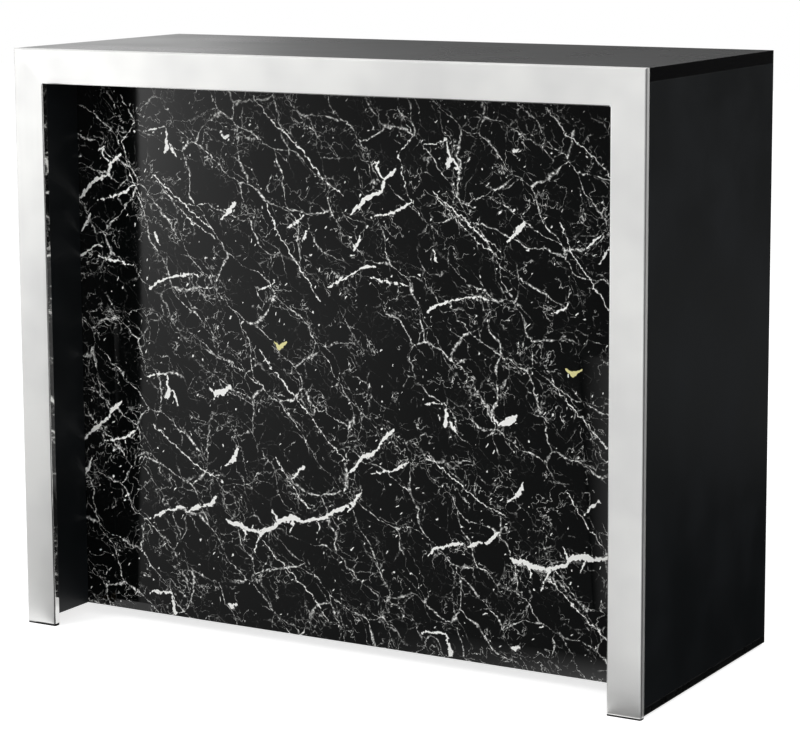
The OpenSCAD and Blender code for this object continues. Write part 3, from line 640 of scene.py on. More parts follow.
VEINS = (
    # Forked white veins with thin prongs, three rows of them.
    ((140, 122, 0.8), (165, 117, 1.4), (186, 112, 1.2), (190, 140, 3.0), (188, 154, 5.2), (186, 160, 0.8)),
    ((194, 138, 0.8), (203, 154, 2.6), (210, 166, 0.6)),
    ((138, 552, 0.8), (162, 547, 1.4), (180, 545, 1.2), (184, 568, 2.8), (182, 582, 5.0), (180, 590, 0.8)),
    ((190, 570, 0.8), (198, 585, 2.8), (204, 598, 0.6)),
    ((135, 942, 1.4), (152, 938, 2.2), (182, 934, 1.4), (188, 955, 2.8), (190, 974, 5.0)),
    # The tall forks.
    ((-2, 248, 1.2), (14, 232, 3.2), (34, 214, 2.8), (62, 202, 2.4), (68, 182, 3.2), (92, 163, 2.6)),
    ((66, 180, 2.6), (52, 164, 1.2), (58, 152, 1.8), (44, 158, 0.8)),
    ((40, 246, 0.8), (62, 240, 1.6), (84, 236, 2.2), (104, 226, 2.6), (122, 216, 0.8)),
    ((-8, 686, 1.2), (10, 668, 3.2), (26, 652, 2.6), (54, 636, 2.4), (60, 620, 3.2), (84, 600, 2.6)),
    ((36, 678, 0.8), (58, 674, 1.6), (80, 668, 2.2), (98, 660, 2.6), (114, 650, 0.8)),
    # Slivers that lean to the right.
    ((296, 272, 0.6), (310, 256, 3.0), (322, 246, 5.6), (328, 232, 0.8)),
    ((296, 698, 0.6), (312, 686, 3.2), (322, 676, 5.2), (328, 658, 0.6)),
    ((434, 274, 0.6), (450, 262, 2.4), (468, 248, 0.6)),
    ((436, 704, 0.6), (450, 690, 2.6), (466, 678, 0.6)),
    ((6, 306, 0.8), (16, 290, 3.4), (24, 268, 0.6)),
    ((-10, 752, 0.6), (6, 734, 2.8), (20, 704, 0.6)),
    ((462, 298, 0.5), (470, 282, 2.2), (478, 268, 0.5)),
    ((160, 292, 0.6), (164, 308, 2.8), (172, 318, 0.8)),
    # Blobs.
    ((302, 122, 0.6), (310, 125, 4.0), (319, 122, 2.8)),
    ((266, 554, 0.8), (278, 572, 2.6), (298, 566, 6.0), (316, 554, 3.4)),
    ((302, 942, 0.6), (311, 945, 3.8), (321, 941, 2.4)),
    # Long thin veins.
    ((146, 396, 2.0), (164, 384, 1.6), (186, 376, 1.8), (214, 368, 1.8), (240, 364, 1.4), (262, 366, 0.8)),
    ((-45, 368, 1.2), (-24, 358, 1.8), (0, 346, 2.0), (22, 334, 1.6), (38, 326, 1.8), (52, 328, 0.6)),
    ((38, 346, 1.0), (62, 350, 1.8), (92, 352, 1.4), (116, 358, 0.8)),
    ((372, 384, 0.6), (388, 378, 2.0), (402, 370, 1.6), (408, 360, 0.6)),
    # The thick vein.
    ((300, 790, 1.2), (312, 796, 4.0), (332, 796, 4.6), (350, 802, 4.0), (366, 804, 2.2)),
    ((366, 804, 2.2), (386, 798, 4.4), (402, 790, 3.8), (416, 778, 3.6), (440, 772, 4.8), (458, 776, 3.0)),
    ((440, 774, 3.0), (434, 790, 1.8), (430, 802, 0.8)),
    ((378, 800, 3.4), (372, 812, 2.0), (364, 826, 1.2), (358, 842, 0.6)),
    ((334, 798, 3.0), (342, 812, 2.0), (336, 822, 0.8)),
    ((410, 784, 2.6), (404, 770, 1.8), (396, 762, 0.6)),
    ((486, 768, 2.4), (492, 782, 1.4), (488, 794, 0.6)),
    ((458, 776, 3.0), (480, 770, 3.8), (504, 762, 3.4), (510, 760, 3.2)),
    ((-45, 760, 3.2), (-34, 754, 3.0), (-20, 744, 3.4), (-4, 738, 2.0), (4, 728, 0.8)),
    # Crushed white patches to the left of the thick vein.
    ((148, 806, 0.8), (160, 794, 2.6), (182, 786, 1.4), (204, 780, 3.6), (216, 778, 1.0)),
    ((222, 784, 1.6), (238, 776, 3.8), (252, 772, 1.4), (268, 766, 5.0), (278, 756, 2.6), (284, 748, 0.8)),
)

DIAGONALS = (
    ((366, 52, 0.7), (402, 92, 1.1), (440, 120, 0.9), (470, 146, 1.0), (502, 184, 0.7), (509, 190, 0.6)),
    ((158, 196, 1.0), (214, 236, 0.9), (246, 262, 0.9), (284, 286, 0.7)),
    ((166, 206, 0.4), (240, 274, 0.7), (290, 300, 0.5)),
    ((372, 482, 0.6), (402, 520, 0.9), (440, 556, 0.9), (478, 592, 0.7), (509, 632, 0.8)),
    ((-45, 632, 0.8), (-20, 652, 0.9), (-4, 662, 0.6)),
    ((148, 636, 1.0), (214, 682, 0.8), (250, 706, 0.9), (296, 724, 0.6)),
    ((-45, 190, 0.6), (-10, 214, 0.8)),
    ((94, 60, 0.5), (122, 108, 0.7), (96, 140, 0.6), (110, 200, 0.6), (140, 246, 0.5)),
    ((360, 806, 0.6), (396, 838, 0.8), (480, 908, 0.8), (508, 946, 0.6)),
    ((390, 232, 0.8), (416, 288, 1.0), (468, 352, 0.8), (500, 396, 0.7)),
    ((402, 668, 0.8), (448, 730, 0.8), (470, 752, 0.6)),
)

YELLOW_FLECK = ((404, 470, 0.6), (415, 478, 4.2), (432, 466, 0.6))

MAIN_CRACKS = Crackle(64, 2.2, 45, 3.1, 0.56, 0.6, 170, 0.74)
FINE_CRACKS = (
    Crackle(40, 1.7, 50, 11.7, 0.42, 0.44, 120, 0.54),
    Crackle(22, 1.3, 30, 27.3, 0.34, 0.34, 70, 0.38),
    Crackle(12, 1.3, 40, 41.9, 0.30, 0.3, 50, 0.26),
)
FLECKS = Flecks(34.0, 0.42, 35.0, 7.7, tone=0.9, bare=0.45, radius=0.1, edge=0.03)
CURLS = Curls(34.0, 60.0, tone=0.6, fade=(0.002, 0.008))
CRACK_SWEEP = Ragging(70.0, 16.0, detail=1.0)
CRACK_EDGE = Ragging(15.0, 6.0, detail=4.0)
VEIN_EDGE = Ragging(20.0, 6.0, detail=3.0)
DIAGONAL_EDGE = Ragging(15.0, 8.0, detail=4.0)


@dataclass(frozen=True)
class MarbleLaminate(Finish):
    """Black board under a high-gloss laminate with a printed black and white stone pattern.

    It gives the eye a deep black mirror with sharp white veins under the gloss.

    Attributes:
        origin_mm: the panel's upper left corner, where the print is measured from.
        name: the finish's name.
        ground: the print's black.
        vein_colour: the print's white.
        fleck_colour: the print's yellowish fleck.
        near_main: how far beside a main crack the finer ones fade, in cells.
        near_main_share: the finer cracks' strength at the main crack and away from it.
        bead_mm: size of the beads into which the cracks break up.
        bead_span: from where to where in a noise the cracks are beaded.
        bead_share: a crack's strength between the beads and in them.
        tear_mm: size of the tears along the veins' edges.
        vein_tears_mm: how far a broad vein's edge stands out and draws in.
        diagonal_tears_mm: the same of a thin diagonal.
        vein_edge_mm: where the ink fades, from a vein's edge.
        fleck_edge_mm: the same of the yellowish fleck.
        contrast: how much the print's pale greys are darkened.
        full_white: the deepened whiteness from which the ink is pure white.
        gloss: the surface's roughness.
        refraction: the resin's refractive index.
        peel_mm: size of the pressed surface's soft waves.
        peel_depth_mm: depth of those waves.
        backing: the plain satin film on the panel's rear face and edges.
        backing_roughness: that film's roughness.
        face_front: from where to where the print gives way to the film, as a face turns to the rear.
    """

    origin_mm: Point
    name: str = "marble_laminate"
    ground: str = "040505"
    vein_colour: str = "fafaf7"
    fleck_colour: str = "e6dfa0"
    near_main: Spot = (0.1, 0.26)
    near_main_share: Spot = (1.0, 0.15)
    bead_mm: float = 5.0
    bead_span: Spot = (0.36, 0.66)
    bead_share: Spot = (0.1, 1.7)
    tear_mm: float = 7.0
    vein_tears_mm: Spot = (1.5, 2.1)
    diagonal_tears_mm: Spot = (0.7, 1.0)
    vein_edge_mm: Spot = (-0.4, 0.4)
    fleck_edge_mm: Spot = (-0.3, 0.6)
    contrast: float = 1.4
    full_white: float = 0.78
    gloss: float = 0.025
    refraction: float = 1.5
    peel_mm: float = 14.0
    peel_depth_mm: float = 0.004
    backing: str = "0c0f11"
    backing_roughness: float = 0.42
    face_front: Spot = (-0.9, -0.5)

    def _net(self, add: Adder, flat: Node) -> Source:
        """Draws the fine net: main cracks with crushed finer ones along them, curls and flecks.

        Args:
            add: adds a node to the tree.
            flat: millimetres across and down.

        Returns:
            How white the net is, from 0 to 1.
        """
        ragged = CRACK_EDGE.push(add, CRACK_SWEEP.push(add, flat))
        cracks, distance = MAIN_CRACKS.draw(add, ragged)
        beside = add("MapRange", (distance, *self.near_main, *self.near_main_share))
        for layer in FINE_CRACKS:
            fine, _ = layer.draw(add, ragged)
            cracks = highest(add, cracks, add("Math", (fine, beside), operation="MULTIPLY"))
        beads = stretched_noise(add, flat, self.bead_mm, detail=3.0, roughness=0.6, flat=True)
        beaded = add("MapRange", (beads, *self.bead_span, *self.bead_share))
        cracks = add("Math", (cracks, beaded), operation="MULTIPLY", use_clamp=True)
        return highest(add, cracks, CURLS.draw(add, ragged), FLECKS.draw(add, ragged))

    def _repeated(self, add: Adder, place: Node) -> Node:
        """Wraps a place into one repeat of the print.

        Args:
            add: adds a node to the tree.
            place: millimetres across and down.

        Returns:
            The place within the repeat.
        """
        parts = add("SeparateXYZ", (place,)).outputs
        inputs = (parts["X"], PRINT_SEAM_MM + PRINT_REPEAT_MM, PRINT_SEAM_MM)
        return add("CombineXYZ", (add("Math", inputs, operation="WRAP"), parts["Y"]))

    def _print(self, add: Adder, place: Node) -> Node:
        """Draws the whole print.

        Args:
            add: adds a node to the tree.
            place: the place on the piece in millimetres.

        Returns:
            The print's colour.
        """
        left, _, top = self.origin_mm
        inputs = (place, (1.0, 0.0, -1.0), (-left, 0.0, top))
        parts = add("SeparateXYZ", (add("VectorMath", inputs, operation="MULTIPLY_ADD"),)).outputs
        flat = add("CombineXYZ", (parts["X"], parts["Z"]))
        white = self._net(add, flat)
        tears = stretched_noise(add, flat, self.tear_mm, detail=3.0, roughness=0.55, flat=True)
        edged = self._repeated(add, VEIN_EDGE.push(add, flat))
        jagged = self._repeated(add, DIAGONAL_EDGE.push(add, flat))
        groups = ((edged, VEINS, self.vein_tears_mm), (jagged, DIAGONALS, self.diagonal_tears_mm))
        for where, veins, (bulge_mm, gap_mm) in groups:
            torn = add("MapRange", (tears, *NOISE_SPAN, -bulge_mm, gap_mm))
            past = add("Math", (past_veins(add, where, veins), torn), operation="ADD")
            white = highest(add, white, add("MapRange", (past, *self.vein_edge_mm, 1.0, 0.0)))
        deepened = add("Math", (white, self.contrast), operation="POWER")
        white = add("MapRange", (deepened, 0.0, self.full_white))
        colour = add("Mix", (white, self.ground, self.vein_colour), data_type="RGBA")
        past = past_veins(add, edged, (YELLOW_FLECK,))
        fleck = add("MapRange", (past, *self.fleck_edge_mm, 1.0, 0.0))
        return add("Mix", (fleck, colour, self.fleck_colour), data_type="RGBA")

    def draw(self, add: Adder, place: Node) -> Node:
        """Adds the shader of the printed face and the plain film around it.

        Args:
            add: adds a node to the tree.
            place: the place on the piece in millimetres.

        Returns:
            The shader.
        """
        rearward = facing(add, Axis.DEPTH)
        backed = add("MapRange", (rearward, *self.face_front))
        colour = add("Mix", (backed, self._print(add, place), self.backing), data_type="RGBA")
        roughness = add("MapRange", (rearward, *self.face_front, self.gloss, self.backing_roughness))
        peel = stretched_noise(add, place, self.peel_mm, detail=1.0)
        looks = {"IOR": self.refraction, "Base Color": colour, "Roughness": roughness}
        return add_surface(add, peel, (1.0, self.peel_depth_mm), looks)


@dataclass(frozen=True)
class Clouded(Finish):
    """A finish whose colour and gloss vary in soft clouds, over a relief of fine marks.

    Attributes:
        name: the finish's name.
        colour: its own colour.
        clouded: its colour in the clouds.
        roughness: the lowest and the highest roughness.
        cloud_mm: size of the clouds.
        mark_mm: size of the marks, or their sizes along each axis.
        mark_depth_mm: their depth.
        cloud_detail: octaves of finer noise in the clouds.
        cloud_span: from where to where in that noise the colour changes.
        relief: how strong the relief is.
    """

    name: str
    colour: str
    clouded: str
    roughness: Spot
    cloud_mm: float
    mark_mm: float | Point
    mark_depth_mm: float
    cloud_detail: ClassVar[float] = 4.0
    cloud_span: ClassVar[Spot] = NOISE_MIDDLE
    relief: ClassVar[float] = 0.5

    def looks(self, add: Adder, place: Node) -> dict[str, object]:
        """Draws the clouds.

        Args:
            add: adds a node to the tree.
            place: the place on the piece in millimetres.

        Returns:
            The shader's inputs by name.
        """
        clouds = stretched_noise(add, place, self.cloud_mm, self.cloud_detail)
        share = add("MapRange", (clouds, *self.cloud_span))
        colour = add("Mix", (share, self.colour, self.clouded), data_type="RGBA")
        roughness = add("MapRange", (clouds, *NOISE_MIDDLE, *self.roughness))
        return {"Base Color": colour, "Roughness": roughness}

    def draw(self, add: Adder, place: Node) -> Node:
        """Adds the shader of the clouds over the marks."""
        marks = stretched_noise(add, place, self.mark_mm, detail=2.0)
        return add_surface(add, marks, (self.relief, self.mark_depth_mm), self.looks(add, place))


@dataclass(frozen=True)
class PressedBoard(Clouded):
    """Particle board faced with a resin film that was pressed against a textured plate.

    It gives the eye a dark satin skin with a few soft smudges and a fine pebble grain, which is drawn
    coarser than the real 0.4 mm so that it shows.

    Attributes:
        reflectance: Blender's specular level of the film.
        edging: the colour of its edge band, where that isn't the face's.
        edging_roughness: the roughness of that band.
        face_up: from where to where the band gives way to the face, as a side turns upward.
    """

    reflectance: float
    edging: str | None = None
    edging_roughness: float = 0.16
    face_up: Spot = (0.6, 0.9)
    cloud_span: ClassVar[Spot] = (0.42, 0.66)
    relief: ClassVar[float] = 0.4

    def looks(self, add: Adder, place: Node) -> dict[str, object]:
        """Draws the film, and its edge band if it has one.

        Args:
            add: adds a node to the tree.
            place: the place on the piece in millimetres.

        Returns:
            The shader's inputs by name.
        """
        looks = {"Specular IOR Level": self.reflectance, **super().looks(add, place)}
        if self.edging is not None:
            top = add("MapRange", (facing(add, Axis.HEIGHT), *self.face_up))
            looks["Base Color"] = add("Mix", (top, self.edging, looks["Base Color"]), data_type="RGBA")
            looks["Roughness"] = add("Mix", (top, self.edging_roughness, looks["Roughness"]))
        return looks


@dataclass(frozen=True)
class WorkedMetal(Clouded):
    """Small metal parts: zinc-plated pressed steel, turned screws, polished balls, satin pulls.

    It gives the eye a grey metal whose gloss varies in small clouds, with fine working marks, which are
    drawn coarser than the real 0.3 mm so that they show.
    """

    cloud_detail: ClassVar[float] = 3.0

    def looks(self, add: Adder, place: Node) -> dict[str, object]:
        """Draws the metal with its dull clouds."""
        return {"Metallic": 1.0, **super().looks(add, place)}


@dataclass(frozen=True)
class MouldedPolymer(Clouded):
    """Moulded plastic or rubber with the mould's spark-eroded grain.

    It gives the eye an even dark matt skin with dusty clouds and a fine grain, which is drawn coarser
    than the real 0.2 mm so that it shows.

    Attributes:
        reflectance: Blender's specular level of the skin.
    """

    cloud_span: ClassVar[Spot] = (0.45, 0.7)
    reflectance: ClassVar[float] = 0.35

    def looks(self, add: Adder, place: Node) -> dict[str, object]:
        """Draws the polymer with its dusty clouds."""
        return {"Specular IOR Level": self.reflectance, **super().looks(add, place)}


@dataclass(frozen=True)
class BirchPlywood(Finish):
    """Birch plywood, rotary-cut veneers glued crosswise, sanded and clear-lacquered.

    It gives the eye pale faces with a faint grain and edges striped by the veneers.

    Attributes:
        thickness: the direction across the sheet.
        grain: the direction of the outer veneers' grain.
        face_mm: where the sheet's lower face lies along its thickness.
        name: the finish's name.
        pale: the colour of the long-grain veneers.
        dark: the colour of the end-grain veneers.
        figure: the colour of the grain's figure.
        veneer_mm: thickness of one veneer.
        figure_mm: length and width of the grain's figure.
        figure_span: from where to where in a noise the figure darkens.
        figure_depth_mm: depth of the figure's relief.
        figure_relief: how strong that relief is.
        crossing_span: from where to where in a wave through the veneers the end grain gives way.
        pore_mm: size of the end grain's pores, drawn coarser than the real 0.1 mm.
        pore_span: from where to where in a noise the pores open.
        pore_share: how dark the end grain is in its pores and between them.
        roughness: the sanded wood's roughness.
        lacquer: how much of the lacquer's own gloss shows.
        lacquer_roughness: the lacquer's roughness.
    """

    thickness: Axis
    grain: Axis
    face_mm: float
    name: str = "birch_plywood"
    pale: str = "dcc39a"
    dark: str = "a9825a"
    figure: str = "c9a878"
    veneer_mm: float = 1.4
    figure_mm: Spot = (180.0, 7.0)
    figure_span: Spot = (0.4, 0.66)
    figure_depth_mm: float = 0.06
    figure_relief: float = 0.3
    crossing_span: Spot = (-0.25, 0.1)
    pore_mm: float = 0.9
    pore_span: Spot = (0.3, 0.6)
    pore_share: Spot = (0.7, 1.0)
    roughness: float = 0.42
    lacquer: float = 0.15
    lacquer_roughness: float = 0.3

    def draw(self, add: Adder, place: Node) -> Node:
        """Adds the shader of the lacquered veneers.

        Args:
            add: adds a node to the tree.
            place: the place on the piece in millimetres.

        Returns:
            The shader.
        """
        size_mm = by_grain(self.grain, *self.figure_mm)
        figure = stretched_noise(add, place, size_mm, detail=4.0, roughness=0.6)
        figured = add("MapRange", (figure, *self.figure_span))
        face = add("Mix", (figured, self.pale, self.figure), data_type="RGBA")
        across = add("SeparateXYZ", (place,)).outputs[self.thickness.value]
        depth = add("Math", (across, self.face_mm), operation="SUBTRACT")
        turn = add("Math", (depth, math.pi / self.veneer_mm), operation="MULTIPLY")
        wave = add("Math", (turn,), operation="SINE")
        crossing = add("MapRange", (wave, *self.crossing_span, 1.0, 0.0))
        pores = stretched_noise(add, place, self.pore_mm, detail=2.0)
        open_pores = add("MapRange", (pores, *self.pore_span, *self.pore_share))
        end_share = add("Math", (crossing, open_pores), operation="MULTIPLY")
        colour = add("Mix", (end_share, face, self.dark), data_type="RGBA")
        looks = {"Base Color": colour, "Roughness": self.roughness}
        looks |= {"Coat Weight": self.lacquer, "Coat Roughness": self.lacquer_roughness}
        return add_surface(add, figure, (self.figure_relief, self.figure_depth_mm), looks)


@dataclass(frozen=True)
class SawnSoftwood(Finish):
    """Sawn spruce, with growth rings along the piece and the saw's cross marks.

    It gives the eye a pale yellow wood with darker rings and a rough skin.

    Attributes:
        grain: the direction along the piece.
        name: the finish's name.
        early: the colour of the early wood.
        late: the colour of the late wood.
        ring_mm: length and spacing of the rings, drawn coarser than the real 3 mm.
        ring_span: from where to where in a noise the wood is late.
        saw_mm: spacing and length of the saw marks.
        saw_depth_mm: their depth.
        saw_relief: how strong their relief is.
        roughness: the sawn wood's roughness.
    """

    grain: Axis
    name: str = "sawn_softwood"
    early: str = "dcbd8c"
    late: str = "a9773f"
    ring_mm: Spot = (260.0, 6.4)
    ring_span: Spot = (0.5, 0.66)
    saw_mm: Spot = (1.4, 60.0)
    saw_depth_mm: float = 0.25
    saw_relief: float = 0.7
    roughness: float = 0.75

    def draw(self, add: Adder, place: Node) -> Node:
        """Adds the shader of the rough wood.

        Args:
            add: adds a node to the tree.
            place: the place on the piece in millimetres.

        Returns:
            The shader.
        """
        rings = stretched_noise(add, place, by_grain(self.grain, *self.ring_mm), detail=3.0, roughness=0.55)
        ringed = add("MapRange", (rings, *self.ring_span))
        colour = add("Mix", (ringed, self.early, self.late), data_type="RGBA")
        saw = stretched_noise(add, place, by_grain(self.grain, *self.saw_mm), detail=1.0)
        looks = {"Base Color": colour, "Roughness": self.roughness}
        return add_surface(add, saw, (self.saw_relief, self.saw_depth_mm), looks)


# Melamine film on the carcass boards: near black, satin.
CARCASS_BOARD = PressedBoard("black_melamine", "0c0f11", "121518", (0.34, 0.42), 150.0, 1.3, 0.03, 0.25)
# The worktop's harder high-pressure laminate: a little greyer and smoother.
WORKTOP_LAMINATE = PressedBoard(
    "worktop_laminate", "131415", "1a1b1c", (0.26, 0.32), 220.0, 1.0, 0.02, 0.45, edging="040405"
)
ZINC_PLATE = WorkedMetal("zinc_plated_steel", "c3c6c9", "a3a7ab", (0.28, 0.4), 9.0, (14.0, 0.9, 0.9), 0.03)
TURNED_STEEL = WorkedMetal("turned_screw_steel", "b9bbbd", "92959a", (0.24, 0.36), 3.0, 0.5, 0.02)
BALL_STEEL = WorkedMetal("polished_ball_steel", "dcdee0", "cfd1d4", (0.06, 0.1), 4.0, 1.0, 0.001)
CAGE_STEEL = WorkedMetal("pressed_cage_steel", "cdb98a", "ab9a72", (0.3, 0.42), 8.0, (0.8, 9.0, 0.8), 0.02)
PULL_STEEL = WorkedMetal("satin_pull_steel", "d9d9d7", "c9c9c8", (0.24, 0.32), 40.0, (0.9, 0.9, 70.0), 0.01)
EDGE_PLASTIC = MouldedPolymer("black_edge_plastic", "0b0c0c", "151616", (0.4, 0.55), 24.0, 0.6, 0.02)
# The strips that trim the side panels' feet, rolled smooth.
BASE_TRIM = MouldedPolymer("black_base_trim", "050606", "0a0b0b", (0.26, 0.34), 24.0, 0.6, 0.01)
FOOT_RUBBER = MouldedPolymer("black_pad_rubber", "050505", "0b0b0a", (0.7, 0.85), 24.0, 0.5, 0.04)


def dress(finish: Finish, *node_names: str) -> None:
    """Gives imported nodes' objects the material of their real finish.

    Args:
        finish: the finish.
        node_names: the nodes.
    """
    material = finish.build()
    for name in node_names:
        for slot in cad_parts[name].material_slots:
            slot.material = material


@dataclass
class SteelPortal:
    """The brushed steel frame: two posts and a rail, with the small welds at its inner corners.

    Attributes:
        weld_mm: radius of a weld's first bead.
        beads: beads in each weld.
        first_share: how far the first bead lies from the corner, in its radii.
        bead_share: how far one bead lies from the next.
        dwindle: how much smaller each bead is than the one before.
        flatness: a bead's size across the weld, in radii.
        sink_share: how far the beads sink behind the steel's face, in radii.
    """

    weld_mm: float = 1.5
    beads: int = 3
    first_share: float = 0.4
    bead_share: float = 1.1
    dwindle: float = 0.2
    flatness: float = 0.4
    sink_share: float = 0.25

    def dress(self) -> None:
        """Gives each member steel whose brushing runs along it, and the pads rubber."""
        dress(BrushedStainless(Axis.HEIGHT), "frame_left_post", "frame_right_post")
        dress(BrushedStainless(Axis.WIDTH), "frame_top_rail")
        dress(FOOT_RUBBER, "post_pads")

    def build(self) -> list[bpy.types.Object]:
        """Makes the weld at each inner corner of the frame.

        Returns:
            The welds' objects.
        """
        rail_low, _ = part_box("frame_top_rail")
        made = []
        for name, outward_x in (("left", -1.0), ("right", 1.0)):
            post_low, post_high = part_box(f"frame_{name}_post")
            inner_x = post_high.x if name == "left" else post_low.x
            corner = Vector((inner_x, rail_low.y, rail_low.z))
            outward = Vector((outward_x, 0.0, 1.0)).normalized()
            made.append(self._weld(f"{name}_corner_weld", corner, outward))
        return made

    def _weld(self, name: str, corner: Vector, outward: Vector) -> bpy.types.Object:
        """Makes one weld as a row of flattened beads over the mitre's inner end.

        Args:
            name: the weld's name.
            corner: the frame's inner front corner.
            outward: the mitre's direction, away from the opening.

        Returns:
            The weld's object.
        """
        shape = bmesh.new()
        radius = self.weld_mm * MM
        flattened = Matrix.Diagonal((1.0, self.flatness, 1.0, 1.0))
        for step in range(self.beads):
            along = outward * radius * (self.first_share + self.bead_share * step)
            centre = corner + along + Vector((0.0, self.sink_share * radius, 0.0))
            placed = Matrix.Translation(centre) @ flattened
            size = radius * (1 - self.dwindle * step)
            bmesh.ops.create_icosphere(shape, subdivisions=3, radius=size, matrix=placed)
        mesh = bpy.data.meshes.new(name)
        shape.to_mesh(mesh)
        shape.free()
        mesh.polygons.foreach_set("use_smooth", [True] * len(mesh.polygons))
        weld = bpy.data.objects.new(name, mesh)
        bpy.context.scene.collection.objects.link(weld)
        weld.data.materials.append(BALL_STEEL.build())
        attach(weld, "cabinet")
        return weld


@dataclass
class Carcass:
    """The black body: worktop, wings, laminate panel, shelves and what stands under them.

    Attributes:
        boards: what has the dark film.
        upright_timber: the sawn wood that runs up.
        level_timber: the sawn wood that runs across.
        cross_timber: the sawn wood that runs from front to rear.
        trim: the strips at the side panels' feet.
        plastic: the feet that have the edge plastic.
    """

    boards: tuple[str, ...] = (
        "left_side_panel", "right_side_panel", "left_inner_wall", "right_inner_wall", "rear_stiles",
        "bottom_board", "centre_partition", "plinth_board", "open_bay_shelf", "cupboard_shelf",
    )
    upright_timber: tuple[str, ...] = ("front_stiles", "left_post_core", "right_post_core")
    level_timber: tuple[str, ...] = ("top_rail_core",)
    cross_timber: tuple[str, ...] = ("wing_battens",)
    trim: tuple[str, ...] = ("left_base_strip", "right_base_strip")
    plastic: tuple[str, ...] = ("rear_feet", "middle_foot")

    def dress(self) -> None:
        """Gives each board, lath and foot its finish."""
        low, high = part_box("front_panel")
        dress(MarbleLaminate(origin_mm=(low.x / MM, low.y / MM, high.z / MM)), "front_panel")
        dress(WORKTOP_LAMINATE, "worktop")
        dress(CARCASS_BOARD, *self.boards)
        dress(SawnSoftwood(Axis.HEIGHT), *self.upright_timber)
        dress(SawnSoftwood(Axis.WIDTH), *self.level_timber)
        dress(SawnSoftwood(Axis.DEPTH), *self.cross_timber)
        dress(BASE_TRIM, *self.trim)
        dress(EDGE_PLASTIC, *self.plastic)


@dataclass
class Drawer:
    """The drawer: a black front with a steel cup pull on a finger-jointed plywood box.

    Attributes:
        sheets: each plywood sheet, with the directions of its thickness and its grain.
    """

    sheets: tuple[tuple[str, Axis, Axis], ...] = (
        ("drawer_sides", Axis.WIDTH, Axis.DEPTH),
        ("drawer_box_front", Axis.DEPTH, Axis.WIDTH),
        ("drawer_back", Axis.DEPTH, Axis.WIDTH),
        ("drawer_bottom", Axis.HEIGHT, Axis.WIDTH),
    )

    def dress(self) -> None:
        """Gives the front, the pull and each plywood sheet its finish."""
        dress(CARCASS_BOARD, "drawer_front")
        dress(PULL_STEEL, "drawer_pull")
        for name, thickness, grain in self.sheets:
            low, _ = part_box(name)
            dress(BirchPlywood(thickness, grain, low[thickness.value] / MM), name)


@dataclass
class Fittings:
    """The metal fittings: runners, hinges, brackets, cams, pins, catch and screws.

    Attributes:
        plated: what is zinc-plated.
        screws: every kind of screw.
    """

    plated: tuple[str, ...] = (
        "runner_wall_members", "runner_drawer_members", "shelf_pins", "hinge_wall_leaves",
        "hinge_door_leaves", "hinge_pins", "strike_plate", "catch_magnet", "worktop_brackets",
        "rail_brackets", "cam_locks", "cam_bolts",
    )
    screws: tuple[str, ...] = (
        "bracket_screws", "frame_screws", "hinge_wall_screws", "hinge_door_screws", "drawer_front_screws",
        "runner_wall_screws", "runner_drawer_screws", "catch_screws", "strike_screws",
    )

    def dress(self) -> None:
        """Gives each fitting its metal or plastic."""
        dress(ZINC_PLATE, *self.plated)
        dress(TURNED_STEEL, *self.screws)
        dress(CAGE_STEEL, "ball_cages")
        dress(BALL_STEEL, "runner_balls")
        dress(EDGE_PLASTIC, "door_catch")


@dataclass
class Door:
    """The cupboard door with its cup pull."""

    def dress(self) -> None:
        """Gives the door its board film and the pull its satin steel."""
        dress(CARCASS_BOARD, "door")
        dress(PULL_STEEL, "door_pull")


@dataclass(frozen=True)
class Card:
    """A card beside the picture, which shows only in glossy surfaces.

    Attributes:
        name: what it is.
        corners: lower left, lower right, upper right and upper left, or near and far on the floor.
        foot: its glow along the lower edge, as (share of the way across, strength), where 1 is white.
        head: its glow along the upper edge, where that isn't the lower edge's.
    """

    name: str
    corners: tuple[Point, ...]
    foot: Curve
    head: Curve | None = None

    def draw(self, add: Adder, _: Node) -> Node:
        """Adds the card's glow, which is looked up across it at its foot and at its head.

        Args:
            add: adds a node to the tree.
            _: the place, which the glow doesn't go by.

        Returns:
            The shader.
        """
        parts = add("SeparateXYZ", (add("TexCoord").outputs["UV"],)).outputs
        levels = [looked_up(add, parts["X"], glow) for glow in (self.foot, self.head or self.foot)]
        return add("Emission", ("ffffff", add("Mix", (parts["Y"], *levels))))

    def sheet(self, steps: int) -> bpy.types.Mesh:
        """Makes the card as a fine grid, so that its glow runs straight though its sides aren't parallel.

        Args:
            steps: squares along a side.

        Returns:
            The mesh.
        """
        corners = [Vector(corner) for corner in self.corners]
        shares = [step / steps for step in range(steps + 1)]
        marks = [(across, up) for up in shares for across in shares]
        places = [
            corners[0].lerp(corners[1], across).lerp(corners[3].lerp(corners[2], across), up)
            for across, up in marks
        ]
        row = len(shares)
        faces = [
            (first, first + 1, first + row + 1, first + row)
            for first in range(row * steps) if (first + 1) % row
        ]
        mesh = bpy.data.meshes.new(self.name)
        mesh.from_pydata(places, [], faces)
        unwrapped = mesh.uv_layers.new(name="across_and_up")
        for loop in mesh.loops:
            unwrapped.uv[loop.index].vector = marks[loop.vertex_index]
        return mesh


def evenly(strength: float) -> Curve:
    """Gives a card one strength all the way across."""
    return (0.0, strength), (1.0, strength)


def upright(start: Spot, end: Spot, low: float, high: float) -> tuple[Point, ...]:
    """Gives the corners of a card that stands between two places, from one height to another."""
    return (*start, low), (*end, low), (*end, high), (*start, high)


def lying(height: float, *places: Spot) -> tuple[Point, ...]:
    """Gives the corners of a card that lies level over the floor."""
    return tuple((x, y, height) for x, y in places)


# How far before and behind the cabinet's middle the upright cards stand.
FRONT_ROW = -3.0
REAR_ROW = 3.25
